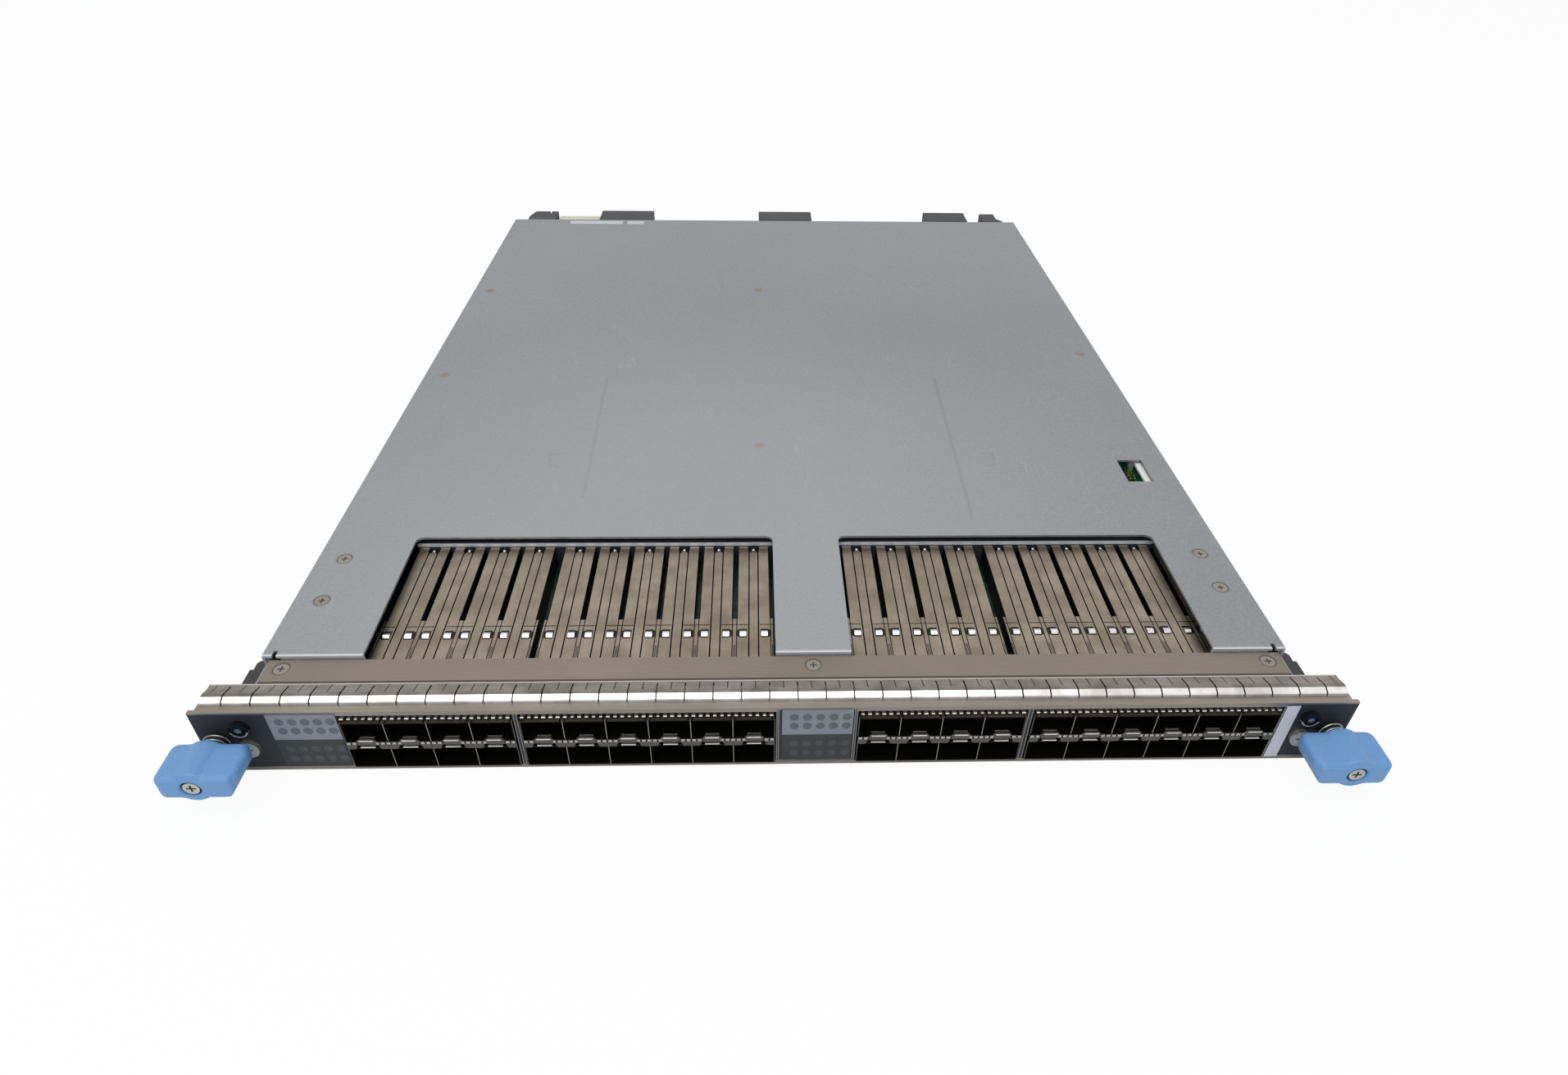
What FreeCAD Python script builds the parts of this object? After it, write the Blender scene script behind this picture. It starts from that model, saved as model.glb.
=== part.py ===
import FreeCAD, Part
import math
import os

import Sketcher
from FreeCAD import Placement, Rotation, Vector

# A switch line card for a modular chassis: a folded front panel with two rows of pluggable
# transceiver cages, a circuit board between them, a sheet tray and cover, and a moulded handle
# on a captive screw at each end.
#
# Lengths are in millimetres. X runs across the card and is zero in its middle, Y runs from the
# panel towards the backplane, and Z points up from the underside. Outlines are drawn from the
# panel's front face, and place() sets them back so that the card's own origin is in the middle
# of its footprint.

DIMENSIONS = [
    # front panel
    ("panel_width", 392.0), ("panel_height", 28.8), ("panel_thick", 1.5),
    ("flange_width", 388.0), ("flange_depth", 13.0),
    ("opening_low", 1.5), ("opening_high", 26.9), ("opening_margin", 0.4),
    # transceiver ports
    ("port_pitch", 14.25), ("few_ports", 4), ("many_ports", 6),
    ("group_one", -147.8), ("group_two", -88.5), ("group_three", 25.4), ("group_four", 84.9),
    ("cage_rise", 9.9), ("cage_wall", 0.4), ("cage_lead", 0.6),
    ("shared_depth", 49.5), ("cage_depth", 93.9), ("column_width", 11.9),
    ("leaf_half", 1.8), ("slit_width", 0.5), ("slit_front", 27.0), ("notch_front", 89.5),
    ("divider_thick", 0.4),
    # circuit board
    ("board_low", 11.6), ("board_thick", 2.4), ("board_width", 356.0),
    ("board_front", 1.6), ("board_rear", 496.0),
    # tray and cover
    ("tray_width", 362.4), ("tray_wall", 1.2), ("tray_front", 13.3), ("tray_rear", 474.2),
    ("tray_height", 27.6), ("cover_width", 364.6), ("cover_thick", 1.0),
    ("cover_front", 26.3), ("cover_rear", 475.5), ("cover_skirt", 6.5),
    ("window_rear", 94.4), ("window_one", -147.3), ("window_two", 24.7),
    ("window_one_width", 145.0), ("window_two_width", 131.1),
    ("hatch_east", 159.2), ("hatch_width", 11.5), ("hatch_front", 134.0), ("hatch_depth", 17.8),
    # strip between panel and cover, and the gasket on the panel
    ("strip_width", 359.0), ("strip_front", 13.4), ("strip_rear", 25.8), ("strip_top", 27.4),
    ("strip_underside", 25.9), ("cover_underside", 27.8),
    ("gasket_width", 386.0), ("gasket_skin", 0.3), ("finger_pitch", 9.53), ("finger_slots", 40),
    ("finger_gap", 0.5),
    # handles and captive screws
    ("screw_offset", 190.0), ("screw_height", 15.2), ("handle_thick", 10.0),
    ("handle_front", 20.2), ("handle_gap", 4.4), ("boss_radius", 6.5),
    ("hub_square", 4.9), ("clip_flat", 4.4), ("hub_slot", 5.1), ("hub_end", 3.4),
    ("spring_seat", 10.4),
    ("spring_radius", 4.1), ("spring_wire", 0.4), ("spring_turns", 5), ("spring_length", 9.0),
    # rear of the board
    ("connector_high", 12.0), ("connector_rear", 505.0),
    # footprint: half the length behind the panel's face, less half of what stands in front
    ("origin_setback", 242.4),
]

PORT_GROUPS = [("group_one", "few_ports"), ("group_two", "many_ports"),
               ("group_three", "few_ports"), ("group_four", "many_ports")]

# heights above the board, for posts that stand on it
ABOVE_BOARD = "(%s - dims.board_low - dims.board_thick)"

# where posts are welded under the cover, where its screws and the front strip's screws are, and
# where standoffs carry the board
WELD_SPOTS = [(-7.1, 348.8), (-7.1, 164.9), (-172.4, 345.7), (172.4, 261.0), (-172.1, 235.0)]
SCREW_SPOTS = [(-171.9, 80.8), (-171.9, 55.8), (171.9, 81.6), (171.9, 60.5)]
STRIP_SPOTS = [(-174.0, 21.5), (10.9, 21.5), (174.0, 21.5)]
STANDOFF_SPOTS = [(side * 174.6, back) for side in (-1, 1) for back in (30, 130, 260, 400)]
STANDOFF_SPOTS += [(-7.1, 164.9), (-7.1, 348.8), (-60.0, 470.0), (60.0, 470.0)]

doc = FreeCAD.newDocument("switch_line_card")
dims = doc.addObject("Spreadsheet::Sheet", "dims")
for row, (alias, value) in enumerate(DIMENSIONS, start=1):
    dims.set("A%d" % row, alias)
    dims.set("B%d" % row, str(value))
    dims.setAlias("B%d" % row, alias)
doc.recompute()

sub_parts = []


def dim(alias):
    """A driving dimension as a number, for shapes that are built directly."""
    return float(dims.get(alias))


# ---------------------------------------------------------------- modelling helpers

def place(sub_part, east="0", back="0", up="0", turn=None):
    """Seat a sub-part in the card: back is measured from the panel's front face."""
    if turn is not None:
        sub_part.Placement = Placement(Vector(), turn)
    sub_part.setExpression("Placement.Base.x", east)
    sub_part.setExpression("Placement.Base.y", "(%s) - dims.origin_setback" % back)
    sub_part.setExpression("Placement.Base.z", up)
    sub_parts.append(sub_part)
    return sub_part


def new_body(label):
    body = doc.addObject("PartDesign::Body", label)
    body.Label = label
    return body


def origin_of(body, role):
    return next(item for item in body.Origin.OriginFeatures if item.Role == role)


def rectangle(west, low, east, high):
    return [(west, low), (east, low), (east, high), (west, high)]


def draw(body, name, plane, outlines=(), circles=(), lift=None):
    """A sketch of closed outlines and circles, every corner bound to the sheet."""
    sketch = body.newObject("Sketcher::SketchObject", body.Label + "_" + name)
    sketch.AttachmentSupport = [(origin_of(body, plane), "")]
    sketch.MapMode = "FlatFace"
    if lift is not None:
        sketch.setExpression("AttachmentOffset.Base.z", lift)
    constraints = []
    rules = []
    for outline in outlines:
        count = len(outline)
        first = sketch.GeometryCount
        angles = [2 * math.pi * index / count for index in range(count)]
        ring = [Vector(10 * math.cos(angle), 10 * math.sin(angle), 0) for angle in angles]
        for index in range(count):
            sketch.addGeometry(Part.LineSegment(ring[index], ring[(index + 1) % count]), False)
            joint = Sketcher.Constraint("Coincident", first + index, 2,
                                        first + (index + 1) % count, 1)
            constraints.append(joint)
            rules.append(None)
        for index, (across, along) in enumerate(outline):
            corner = ring[index]
            constraints.append(
                Sketcher.Constraint("DistanceX", -1, 1, first + index, 1, corner.x))
            rules.append(across)
            constraints.append(
                Sketcher.Constraint("DistanceY", -1, 1, first + index, 1, corner.y))
            rules.append(along)
    for across, along, radius in circles:
        circle = Part.Circle(Vector(1, 1, 0), Vector(0, 0, 1), 2)
        index = sketch.addGeometry(circle, False)
        constraints.append(Sketcher.Constraint("DistanceX", -1, 1, index, 3, 1.0))
        rules.append(across)
        constraints.append(Sketcher.Constraint("DistanceY", -1, 1, index, 3, 1.0))
        rules.append(along)
        constraints.append(Sketcher.Constraint("Radius", index, 2.0))
        rules.append(radius)
    sketch.addConstraint(constraints)
    for index, rule in enumerate(rules):
        if rule is not None:
            sketch.setExpression("Constraints[%d]" % index, rule)
    return sketch


def pad(body, sketch, length, side="One side", reverse=False):
    feature = body.newObject("PartDesign::Pad", sketch.Name + "_pad")
    feature.Profile = sketch
    feature.SideType = side
    feature.Reversed = reverse
    feature.setExpression("Length", length)
    return feature


def pocket(body, sketch, length=None, reverse=False, both=False):
    feature = body.newObject("PartDesign::Pocket", sketch.Name + "_pocket")
    feature.Profile = sketch
    feature.Reversed = reverse
    if both:
        feature.SideType = "Symmetric"
    if length is None:
        feature.Type = "ThroughAll"
    else:
        feature.setExpression("Length", length)
    return feature


def revolve(body, sketch):
    """Turn a half section drawn to the right of the sketch's vertical axis."""
    feature = body.newObject("PartDesign::Revolution", sketch.Name + "_turned")
    feature.Profile = sketch
    feature.ReferenceAxis = (sketch, ["V_Axis"])
    feature.Angle = 360
    return feature


def row(body, features, axis, span, count):
    """Repeat features along an axis: span runs from the first to the last."""
    pattern = body.newObject("PartDesign::LinearPattern", body.Label + "_row")
    pattern.Originals = features
    pattern.Direction = (origin_of(body, axis), [""])
    pattern.setExpression("Length", span)
    pattern.setExpression("Occurrences", count)
    body.Tip = pattern
    return pattern


def edges_where(shape, test):
    return ["Edge%d" % (index + 1) for index, edge in enumerate(shape.Edges) if test(edge)]


def is_vertical(edge):
    ends = edge.Vertexes
    return len(ends) == 2 and abs(ends[0].Z - ends[1].Z) > 1.0 and math.hypot(
        ends[0].X - ends[1].X, ends[0].Y - ends[1].Y) < 0.01


def fillet(body, base, test, radius):
    doc.recompute()
    feature = body.newObject("PartDesign::Fillet", base.Name + "_rounded")
    feature.Base = (base, edges_where(base.Shape, test))
    feature.setExpression("Radius", radius)
    return feature


def chamfer(body, base, test, size):
    doc.recompute()
    feature = body.newObject("PartDesign::Chamfer", base.Name + "_bevelled")
    feature.Base = (base, edges_where(base.Shape, test))
    feature.setExpression("Size", size)
    return feature


def group(label, form, spots, turn=Rotation()):
    """Identical pieces in one node, as separate solids at spots (x, y, z)."""
    doc.recompute()
    pieces = []
    for spot in spots:
        piece = form.Shape.copy()
        piece.Placement = Placement(Vector(*spot), turn).multiply(piece.Placement)
        pieces.append(piece)
    feature = doc.addObject("Part::Feature", label)
    feature.Label = label
    feature.Shape = Part.makeCompound(pieces)
    return place(feature)


# ---------------------------------------------------------------- front panel

def front_panel():
    """A folded channel: face plate, top and bottom flanges, four port openings."""
    body = new_body("front_panel")
    thick = "dims.panel_thick"
    deep = "dims.flange_depth"
    tall = "dims.panel_height"
    channel = draw(body, "channel", "YZ_Plane", [[
        ("0", "0"), (deep, "0"), (deep, thick), (thick, thick), (thick, tall + " - " + thick),
        (deep, tall + " - " + thick), (deep, tall), ("0", tall)]])
    pad(body, channel, "dims.flange_width", side="Symmetric")
    plate = draw(body, "plate", "XZ_Plane", [rectangle(
        "-dims.panel_width / 2", "0", "dims.panel_width / 2", tall)])
    pad(body, plate, thick, reverse=True)
    openings = []
    for start, ports in PORT_GROUPS:
        openings.append(rectangle(
            "dims.%s - dims.opening_margin" % start, "dims.opening_low",
            "dims.%s + dims.%s * dims.port_pitch + dims.opening_margin" % (start, ports),
            "dims.opening_high"))
    half = "dims.hub_slot / 2"
    for side in ("-", ""):
        centre = side + "dims.screw_offset"
        openings.append(rectangle(
            centre + " - " + half, "dims.screw_height - " + half,
            centre + " + " + half, "dims.screw_height + " + half))
    cuts = draw(body, "openings", "XZ_Plane", openings)
    pocket(body, cuts, thick)
    return place(body)


def indicator_plate(label, west, width):
    """A printed window over the port lights, seated on the panel's face."""
    body = new_body(label)
    outline = draw(body, "face", "XZ_Plane", [rectangle("0", "0", width, "12")])
    pad(body, outline, "0.4")
    return place(body, west, "0", "15.9")


def emi_gasket():
    """Beryllium copper finger stock: an arched strip slit into fingers from both edges."""
    body = new_body("emi_gasket")
    profile = draw(body, "arch", "YZ_Plane", [[
        ("0", "0"), ("0.5", "1.3"), ("2.4", "2.15"), ("3.9", "2.15"), ("9.9", "0.3"),
        ("9.9", "0"), ("3.8", "2.15 - dims.gasket_skin"), ("2.5", "2.15 - dims.gasket_skin"),
        ("0.8", "1.1"), ("0.35", "0")]])
    pad(body, profile, "dims.gasket_width", side="Symmetric")
    first = "-dims.finger_pitch * (dims.finger_slots - 1) / 2"
    gap = "dims.finger_gap / 2"
    slot = draw(body, "slot", "XY_Plane", [rectangle(
        first + " - " + gap, "-0.5", first + " + " + gap, "8.2")], lift="3")
    cut = pocket(body, slot)
    row(body, [cut], "X_Axis", "dims.finger_pitch * (dims.finger_slots - 1)", "dims.finger_slots")
    return place(body, "0", "2.9", "dims.panel_height")


# ---------------------------------------------------------------- transceiver cages

def cage(label, start, ports, lower=False):
    """One ganged cage. The lower ones are a plain sleeve for their whole depth.

    The upper ones go on behind the sleeve as a capped channel for each port. The sheet over
    each port is slit into a long leaf whose tip points into a rear notch.
    """
    body = new_body(label)
    count = "dims." + ports
    wide = "(%s * dims.port_pitch)" % count
    tall = "dims.cage_rise"
    wall = "dims.cage_wall"
    sleeve = draw(body, "sleeve", "XZ_Plane", [
        rectangle("0", "0", wide, tall),
        rectangle(wall, wall, wide + " - " + wall, tall + " - " + wall)], lift="dims.cage_lead")
    if lower:
        pad(body, sleeve, "dims.cage_depth + dims.cage_lead", reverse=True)
        return place(body, "dims." + start, "0", "dims.board_low - dims.cage_rise")
    pad(body, sleeve, "dims.shared_depth + dims.cage_lead", reverse=True)
    centre = "dims.port_pitch / 2"
    west = centre + " - dims.column_width / 2"
    east = centre + " + dims.column_width / 2"
    channel = draw(body, "channel", "XZ_Plane", [[
        (west, "0"), (west + " + " + wall, "0"), (west + " + " + wall, tall + " - " + wall),
        (east + " - " + wall, tall + " - " + wall), (east + " - " + wall, "0"), (east, "0"),
        (east, tall), (west, tall)]], lift="-dims.shared_depth")
    rear = pad(body, channel, "dims.cage_depth - dims.shared_depth", reverse=True)
    leaf = "dims.leaf_half"
    slit = "dims.slit_width / 2"
    notch = "dims.notch_front"
    end = "dims.cage_depth + 1"
    cuts = draw(body, "leaf", "XY_Plane", [
        [(centre + " - " + leaf + " - " + slit, "dims.slit_front"),
         (centre + " - " + leaf + " + " + slit, "dims.slit_front"),
         (centre + " - " + leaf + " + " + slit, notch), (centre, notch + " + 2.6"),
         (centre + " + " + leaf + " - " + slit, notch),
         (centre + " + " + leaf + " - " + slit, "dims.slit_front"),
         (centre + " + " + leaf + " + " + slit, "dims.slit_front"),
         (centre + " + " + leaf + " + " + slit, end),
         (centre + " - " + leaf + " - " + slit, end)]], lift=tall)
    slits = pocket(body, cuts, wall + " * 2")
    row(body, [rear, slits], "X_Axis", "dims.port_pitch * (%s - 1)" % count, count)
    return place(body, "dims." + start, "0", "dims.board_low + dims.board_thick")


def cage_dividers():
    """The walls between neighbouring ports, one thin plate each."""
    forms = {}
    for level, depth in (("upper", "dims.shared_depth"), ("lower", "dims.cage_depth")):
        form = doc.addObject("Part::Box", level + "_divider_form")
        form.setExpression("Length", "dims.divider_thick")
        form.setExpression("Width", depth + " + dims.cage_lead")
        form.setExpression("Height", "dims.cage_rise - 2 * dims.cage_wall")
        forms[level] = form
    spots = []
    for start, ports in PORT_GROUPS:
        for index in range(1, int(dim(ports))):
            middle = dim(start) + index * dim("port_pitch")
            spots.append((middle - dim("divider_thick") / 2, -dim("cage_lead")))
    upper = dim("board_low") + dim("board_thick") + dim("cage_wall")
    lower = dim("board_low") - dim("cage_rise") + dim("cage_wall")
    group("upper_cage_dividers", forms["upper"],
          [(across, back, upper) for across, back in spots])
    group("lower_cage_dividers", forms["lower"],
          [(across, back, lower) for across, back in spots])


def latch_band(label, start, ports):
    """The spring sheet between the rows: a tongue up at each port, a lobe down between."""
    body = new_body(label)
    count = "dims." + ports
    middle = "dims.port_pitch / 2"
    strip = draw(body, "strip", "XZ_Plane", [rectangle(
        "0", "2.0", "%s * dims.port_pitch" % count, "3.5")])
    pad(body, strip, "0.3")
    tongue = draw(body, "tongue", "XZ_Plane", [
        [(middle + " - 3.6", "3.4"), (middle + " + 3.6", "3.4"),
         (middle + " + 2.4", "5.1"), (middle + " - 2.4", "5.1")]])
    lobe = draw(body, "lobe", "XZ_Plane", [
        [("0", "0"), ("2.8", "0"), ("3.6", "2.1"), ("0", "2.1")],
        [("dims.port_pitch", "0"), ("dims.port_pitch", "2.1"), ("dims.port_pitch - 3.6", "2.1"),
         ("dims.port_pitch - 2.8", "0")]])
    pads = [pad(body, tongue, "0.3"), pad(body, lobe, "0.3")]
    row(body, pads, "X_Axis", "dims.port_pitch * (%s - 1)" % count, count)
    return place(body, "dims." + start, "-0.6", "11.3")


def port_connectors():
    """A board connector at the back of every port, with the slot for the module's edge."""
    form = new_body("port_connector_form")
    side = draw(form, "side", "YZ_Plane", [[
        ("0", "0"), ("9.0", "0"), ("9.0", "5.4"), ("2.2", "5.4"), ("2.2", "2.4"), ("0", "2.4")]])
    pad(form, side, "11", side="Symmetric")
    spots = []
    for start, ports in PORT_GROUPS:
        for index in range(int(dim(ports))):
            spots.append((dim(start) + (index + 0.5) * dim("port_pitch"), 37.0))
    upper = dim("board_low") + dim("board_thick") + dim("cage_wall")
    lower = dim("board_low") - dim("cage_wall")
    group("upper_port_connectors", form, [(across, back, upper) for across, back in spots])
    group("lower_port_connectors", form, [(across, back, lower) for across, back in spots],
          Rotation(Vector(0, 1, 0), 180))


# ---------------------------------------------------------------- tray, cover and board

def tray():
    """The carrier: floor and side walls folded from one sheet, with a low rear wall."""
    body = new_body("tray")
    half = "dims.tray_width / 2"
    wall = "dims.tray_wall"
    tall = "dims.tray_height"
    section = draw(body, "section", "XZ_Plane", [[
        ("-" + half, "0"), (half, "0"), (half, tall), (half + " - " + wall, tall),
        (half + " - " + wall, wall), ("-" + half + " + " + wall, wall),
        ("-" + half + " + " + wall, tall), ("-" + half, tall)]], lift="-dims.tray_front")
    pad(body, section, "dims.tray_rear - dims.tray_front", reverse=True)
    rear = draw(body, "rear", "XZ_Plane", [rectangle(
        "-" + half, "0", half, "dims.board_low - 0.4")], lift="-dims.tray_rear")
    pad(body, rear, wall)
    step = draw(body, "step", "YZ_Plane", [rectangle(
        "dims.tray_front - 1", "dims.strip_top - 1.6", "dims.cover_front + 0.1", tall + " + 1")])
    pocket(body, step, "dims.tray_width + 2", both=True)
    return place(body)


def top_cover():
    """The lid: side skirts, a rear lip, two windows open to the front, a hatch, corner slots."""
    body = new_body("top_cover")
    half = "dims.cover_width / 2"
    thick = "dims.cover_thick"
    top = "dims.panel_height"
    skirt = "dims.panel_height - dims.cover_skirt"
    section = draw(body, "section", "XZ_Plane", [[
        ("-" + half, skirt), ("-" + half + " + " + thick, skirt),
        ("-" + half + " + " + thick, top + " - " + thick),
        (half + " - " + thick, top + " - " + thick), (half + " - " + thick, skirt),
        (half, skirt), (half, top), ("-" + half, top)]], lift="-dims.cover_front")
    pad(body, section, "dims.cover_rear - dims.cover_front", reverse=True)
    rear = draw(body, "rear_lip", "XZ_Plane", [rectangle(
        "-" + half, "dims.board_low + dims.board_thick + 0.6", half, top)],
        lift="-dims.cover_rear")
    pad(body, rear, thick)
    front = draw(body, "front_lip", "XZ_Plane", [rectangle(
        "-176", "dims.strip_top - 1.4", "176", top)], lift="-dims.cover_front")
    pad(body, front, "0.4 + " + thick, reverse=True)
    west = "dims.window_one"
    middle = "dims.window_two"
    cuts = draw(body, "windows", "XY_Plane", [
        rectangle(west, "dims.cover_front - 2", west + " + dims.window_one_width",
                  "dims.window_rear"),
        rectangle(middle, "dims.cover_front - 2", middle + " + dims.window_two_width",
                  "dims.window_rear"),
        rectangle("dims.hatch_east", "dims.hatch_front", "dims.hatch_east + dims.hatch_width",
                  "dims.hatch_front + dims.hatch_depth"),
        rectangle("177.4", "dims.cover_front - 2", "178.9", "dims.cover_front + 2.6"),
        rectangle("-178.9", "dims.cover_front - 2", "-177.4", "dims.cover_front + 2.6")], lift=top)
    openings = pocket(body, cuts, "6")
    rear_corners = fillet(
        body, openings,
        lambda edge: is_vertical(edge) and abs(edge.Vertexes[0].Y - dim("window_rear")) < 0.01,
        "3")
    seats = [(str(east), str(back), "2.9") for east, back in SCREW_SPOTS]
    holes = draw(body, "fixings", "XY_Plane", circles=seats, lift=top)
    pocket(body, holes, "2")
    return place(body)


def circuit_board():
    """The one board, its front corners cut back to clear the panel's ends."""
    body = new_body("circuit_board")
    half = "dims.board_width / 2"
    outline = draw(body, "outline", "XY_Plane", [[
        ("-" + half, "dims.board_front + 14"), ("-150", "dims.board_front"),
        ("172", "dims.board_front"), (half, "dims.board_front + 14"),
        (half, "dims.board_rear"), ("-" + half, "dims.board_rear")]])
    pad(body, outline, "dims.board_thick")
    return place(body, "0", "0", "dims.board_low")


def posts():
    """Hexagonal posts: some carry the board, the others stand on it under cover and strip."""
    board_top = dim("board_low") + dim("board_thick")
    to_cover = post_form("cover_post_form", "2.9", ABOVE_BOARD % "dims.cover_underside")
    group("cover_posts", to_cover, [(east, back, board_top) for east, back in WELD_SPOTS])
    to_screws = post_form("screw_post_form", "2.5", ABOVE_BOARD % "dims.cover_underside")
    group("screw_posts", to_screws, [(east, back, board_top) for east, back in SCREW_SPOTS])
    to_strip = post_form("strip_post_form", "2.5", ABOVE_BOARD % "dims.strip_underside")
    group("strip_posts", to_strip, [(east, back, board_top) for east, back in STRIP_SPOTS])
    lower = post_form("board_standoff_form", "2.5", "dims.board_low - dims.tray_wall")
    floor = dim("tray_wall")
    group("board_standoffs", lower, [(east, back, floor) for east, back in STANDOFF_SPOTS])


def post_form(name, radius, tall):
    """A hexagonal post that stands at zero."""
    body = new_body(name)
    corners = []
    for index in range(6):
        angle = 60 * index
        corners.append(("%s * cos(%d)" % (radius, angle), "%s * sin(%d)" % (radius, angle)))
    section = draw(body, "hexagon", "XY_Plane", [corners])
    pad(body, section, tall)
    return body


def screw_head_form(name, radius, tall):
    """The flat head of a small flush screw, seated at zero."""
    body = new_body(name)
    disc = draw(body, "disc", "XY_Plane", circles=[("0", "0", radius)])
    pad(body, disc, tall)
    return body


def cross(reach, half):
    """The outline of a cross recess."""
    far = "(" + reach + ")"
    near = "(" + half + ")"
    minus = "-"
    return [(near, minus + far), (near, minus + near), (far, minus + near), (far, near),
            (near, near), (near, far), (minus + near, far), (minus + near, near),
            (minus + far, near), (minus + far, minus + near), (minus + near, minus + near),
            (minus + near, minus + far)]


def front_strip():
    """The joining strip between the panel's flange and the cover, turned down in front."""
    body = new_body("front_strip")
    top = "dims.strip_top"
    section = draw(body, "section", "YZ_Plane", [[
        ("dims.strip_front", "24.3"), ("dims.strip_front + 1.5", "24.3"),
        ("dims.strip_front + 1.5", "dims.strip_underside"), ("dims.strip_rear", "dims.strip_underside"),
        ("dims.strip_rear", top), ("dims.strip_front", top)]])
    pad(body, section, "dims.strip_width", side="Symmetric")
    seats = [(str(east), str(back), "2.7") for east, back in STRIP_SPOTS]
    holes = draw(body, "holes", "XY_Plane", circles=seats, lift=top)
    pocket(body, holes, "1.6")
    return place(body)


def fasteners():
    """The flush screws' heads in the cover and the strip, and the panel's two kinds of screw."""
    flush = screw_head_form("cover_screw_form", "2.7", "dims.cover_thick - 0.06")
    low = dim("cover_underside")
    group("cover_screws", flush, [(east, back, low) for east, back in SCREW_SPOTS])
    sunk = screw_head_form("strip_screw_form", "2.6", "dims.strip_top - dims.strip_underside - 0.1")
    low = dim("strip_underside")
    group("strip_screws", sunk, [(east, back, low) for east, back in STRIP_SPOTS])

    dark = panel_screw_form("black_screw_form", "3.1", "1.8")
    bright = panel_screw_form("bright_screw_form", "3.7", "1.4")
    group("black_panel_screws", dark, [(-180.7, 0, 21.9), (180.7, 0, 21.9)])
    group("bright_panel_screws", bright, [(-180.7, 0, 11.9), (180.7, 0, 11.9)])


def panel_screw_form(name, radius, tall):
    """The head of a panel screw, with a cross recess, against the panel's face."""
    body = new_body(name)
    disc = draw(body, "disc", "XZ_Plane", circles=[("0", "0", radius)])
    pad(body, disc, tall)
    recess = draw(body, "recess", "XZ_Plane", [cross("1.7", "0.35")], lift=tall)
    pocket(body, recess, "1.1")
    return body


def stiffener_bar():
    """An angle across the board behind the upper cages."""
    body = new_body("stiffener_bar")
    section = draw(body, "section", "YZ_Plane", [[
        ("0", "0"), ("8", "0"), ("8", "1.2"), ("2.4", "1.2"), ("2.4", "11.4"), ("0", "11.4")]])
    pad(body, section, "306", side="Symmetric")
    return place(body, "5", "94.4", "dims.board_low + dims.board_thick")


# ---------------------------------------------------------------- what sits on the board

def backplane_connector(label, east, width):
    """A right-angle connector over the board's rear edge, slotted between its wafers."""
    body = new_body(label)
    rear = "dims.connector_rear - dims.board_rear"
    section = draw(body, "section", "YZ_Plane", [[
        ("-12", "0"), ("0.4", "0"), ("0.4", "-4.5"), (rear, "-4.5"),
        (rear, "dims.connector_high - 1.2"), (rear + " - 1.2", "dims.connector_high"),
        ("-10", "dims.connector_high"), ("-12", "dims.connector_high - 2")]])
    pad(body, section, width, side="Symmetric")
    first = "-(%s) / 2 + 2.2" % width
    slot = draw(body, "slot", "XZ_Plane", [rectangle(
        first, "-3.2", first + " + 1.4", "dims.connector_high - 1.8")], lift="-(%s)" % rear)
    cut = pocket(body, slot, "6", reverse=True)
    row(body, [cut], "X_Axis", "(%s) - 5.8" % width, "12")
    return place(body, east, "dims.board_rear", "dims.board_low + dims.board_thick")


def power_connector():
    """The low power inlet beside the first backplane connector."""
    body = new_body("power_connector")
    section = draw(body, "section", "YZ_Plane", [[
        ("-10", "0"), ("5", "0"), ("5", "7.5"), ("4", "9"), ("-8", "9"), ("-10", "7")]])
    pad(body, section, "30", side="Symmetric")
    blades = draw(body, "blades", "XZ_Plane", [rectangle("-13", "1.6", "-11", "7")], lift="-5")
    cut = pocket(body, blades, "7", reverse=True)
    row(body, [cut], "X_Axis", "24", "5")
    return place(body, "-139.6", "dims.board_rear", "dims.board_low + dims.board_thick")


def guide_block(label, east, outline):
    """A guide socket at the rear corner that finds the backplane's pin first."""
    body = new_body(label)
    plan = draw(body, "plan", "XY_Plane", [outline])
    pad(body, plan, "dims.connector_high")
    bore = draw(body, "bore", "XZ_Plane", circles=[("0", "6.2", "3.2")], lift="-23.5")
    pocket(body, bore, "15", reverse=True)
    return place(body, east, "478", "dims.board_low + dims.board_thick")


def service_header():
    """A small pin header under the hatch, with its two rows of pins."""
    body = new_body("service_header")
    base = draw(body, "base", "XY_Plane", [rectangle("-2.6", "-6.4", "2.6", "6.4")])
    pad(body, base, "2.5")
    pins = draw(body, "pins", "XY_Plane", [
        rectangle("-1.6", "-5.4", "-1.0", "-4.8"), rectangle("1.0", "-5.4", "1.6", "-4.8")])
    pair = pad(body, pins, "8.4")
    row(body, [pair], "Y_Axis", "10.2", "5")
    return place(body, "165.4", "148", "dims.board_low + dims.board_thick")


def heat_sink(label, east, back):
    """An extruded sink over a forwarding chip: its fins run across the card with the air."""
    body = new_body(label)
    base = draw(body, "base", "XY_Plane", [rectangle("-36", "-36", "36", "36")])
    pad(body, base, "2.4")
    fin = draw(body, "fin", "XY_Plane", [rectangle("-36", "-36", "36", "-34.8")])
    blade = pad(body, fin, "10.2")
    row(body, [blade], "Y_Axis", "70.8", "11")
    return place(body, east, back, "dims.board_low + dims.board_thick + 2.6")


def chips():
    form = doc.addObject("Part::Box", "chip_form")
    form.Length = 42
    form.Width = 42
    form.Height = 2.6
    low = dim("board_low") + dim("board_thick")
    group("forwarding_chips", form, [(-101, 239, low), (59, 239, low)])


# ---------------------------------------------------------------- handles and captive screws

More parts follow.
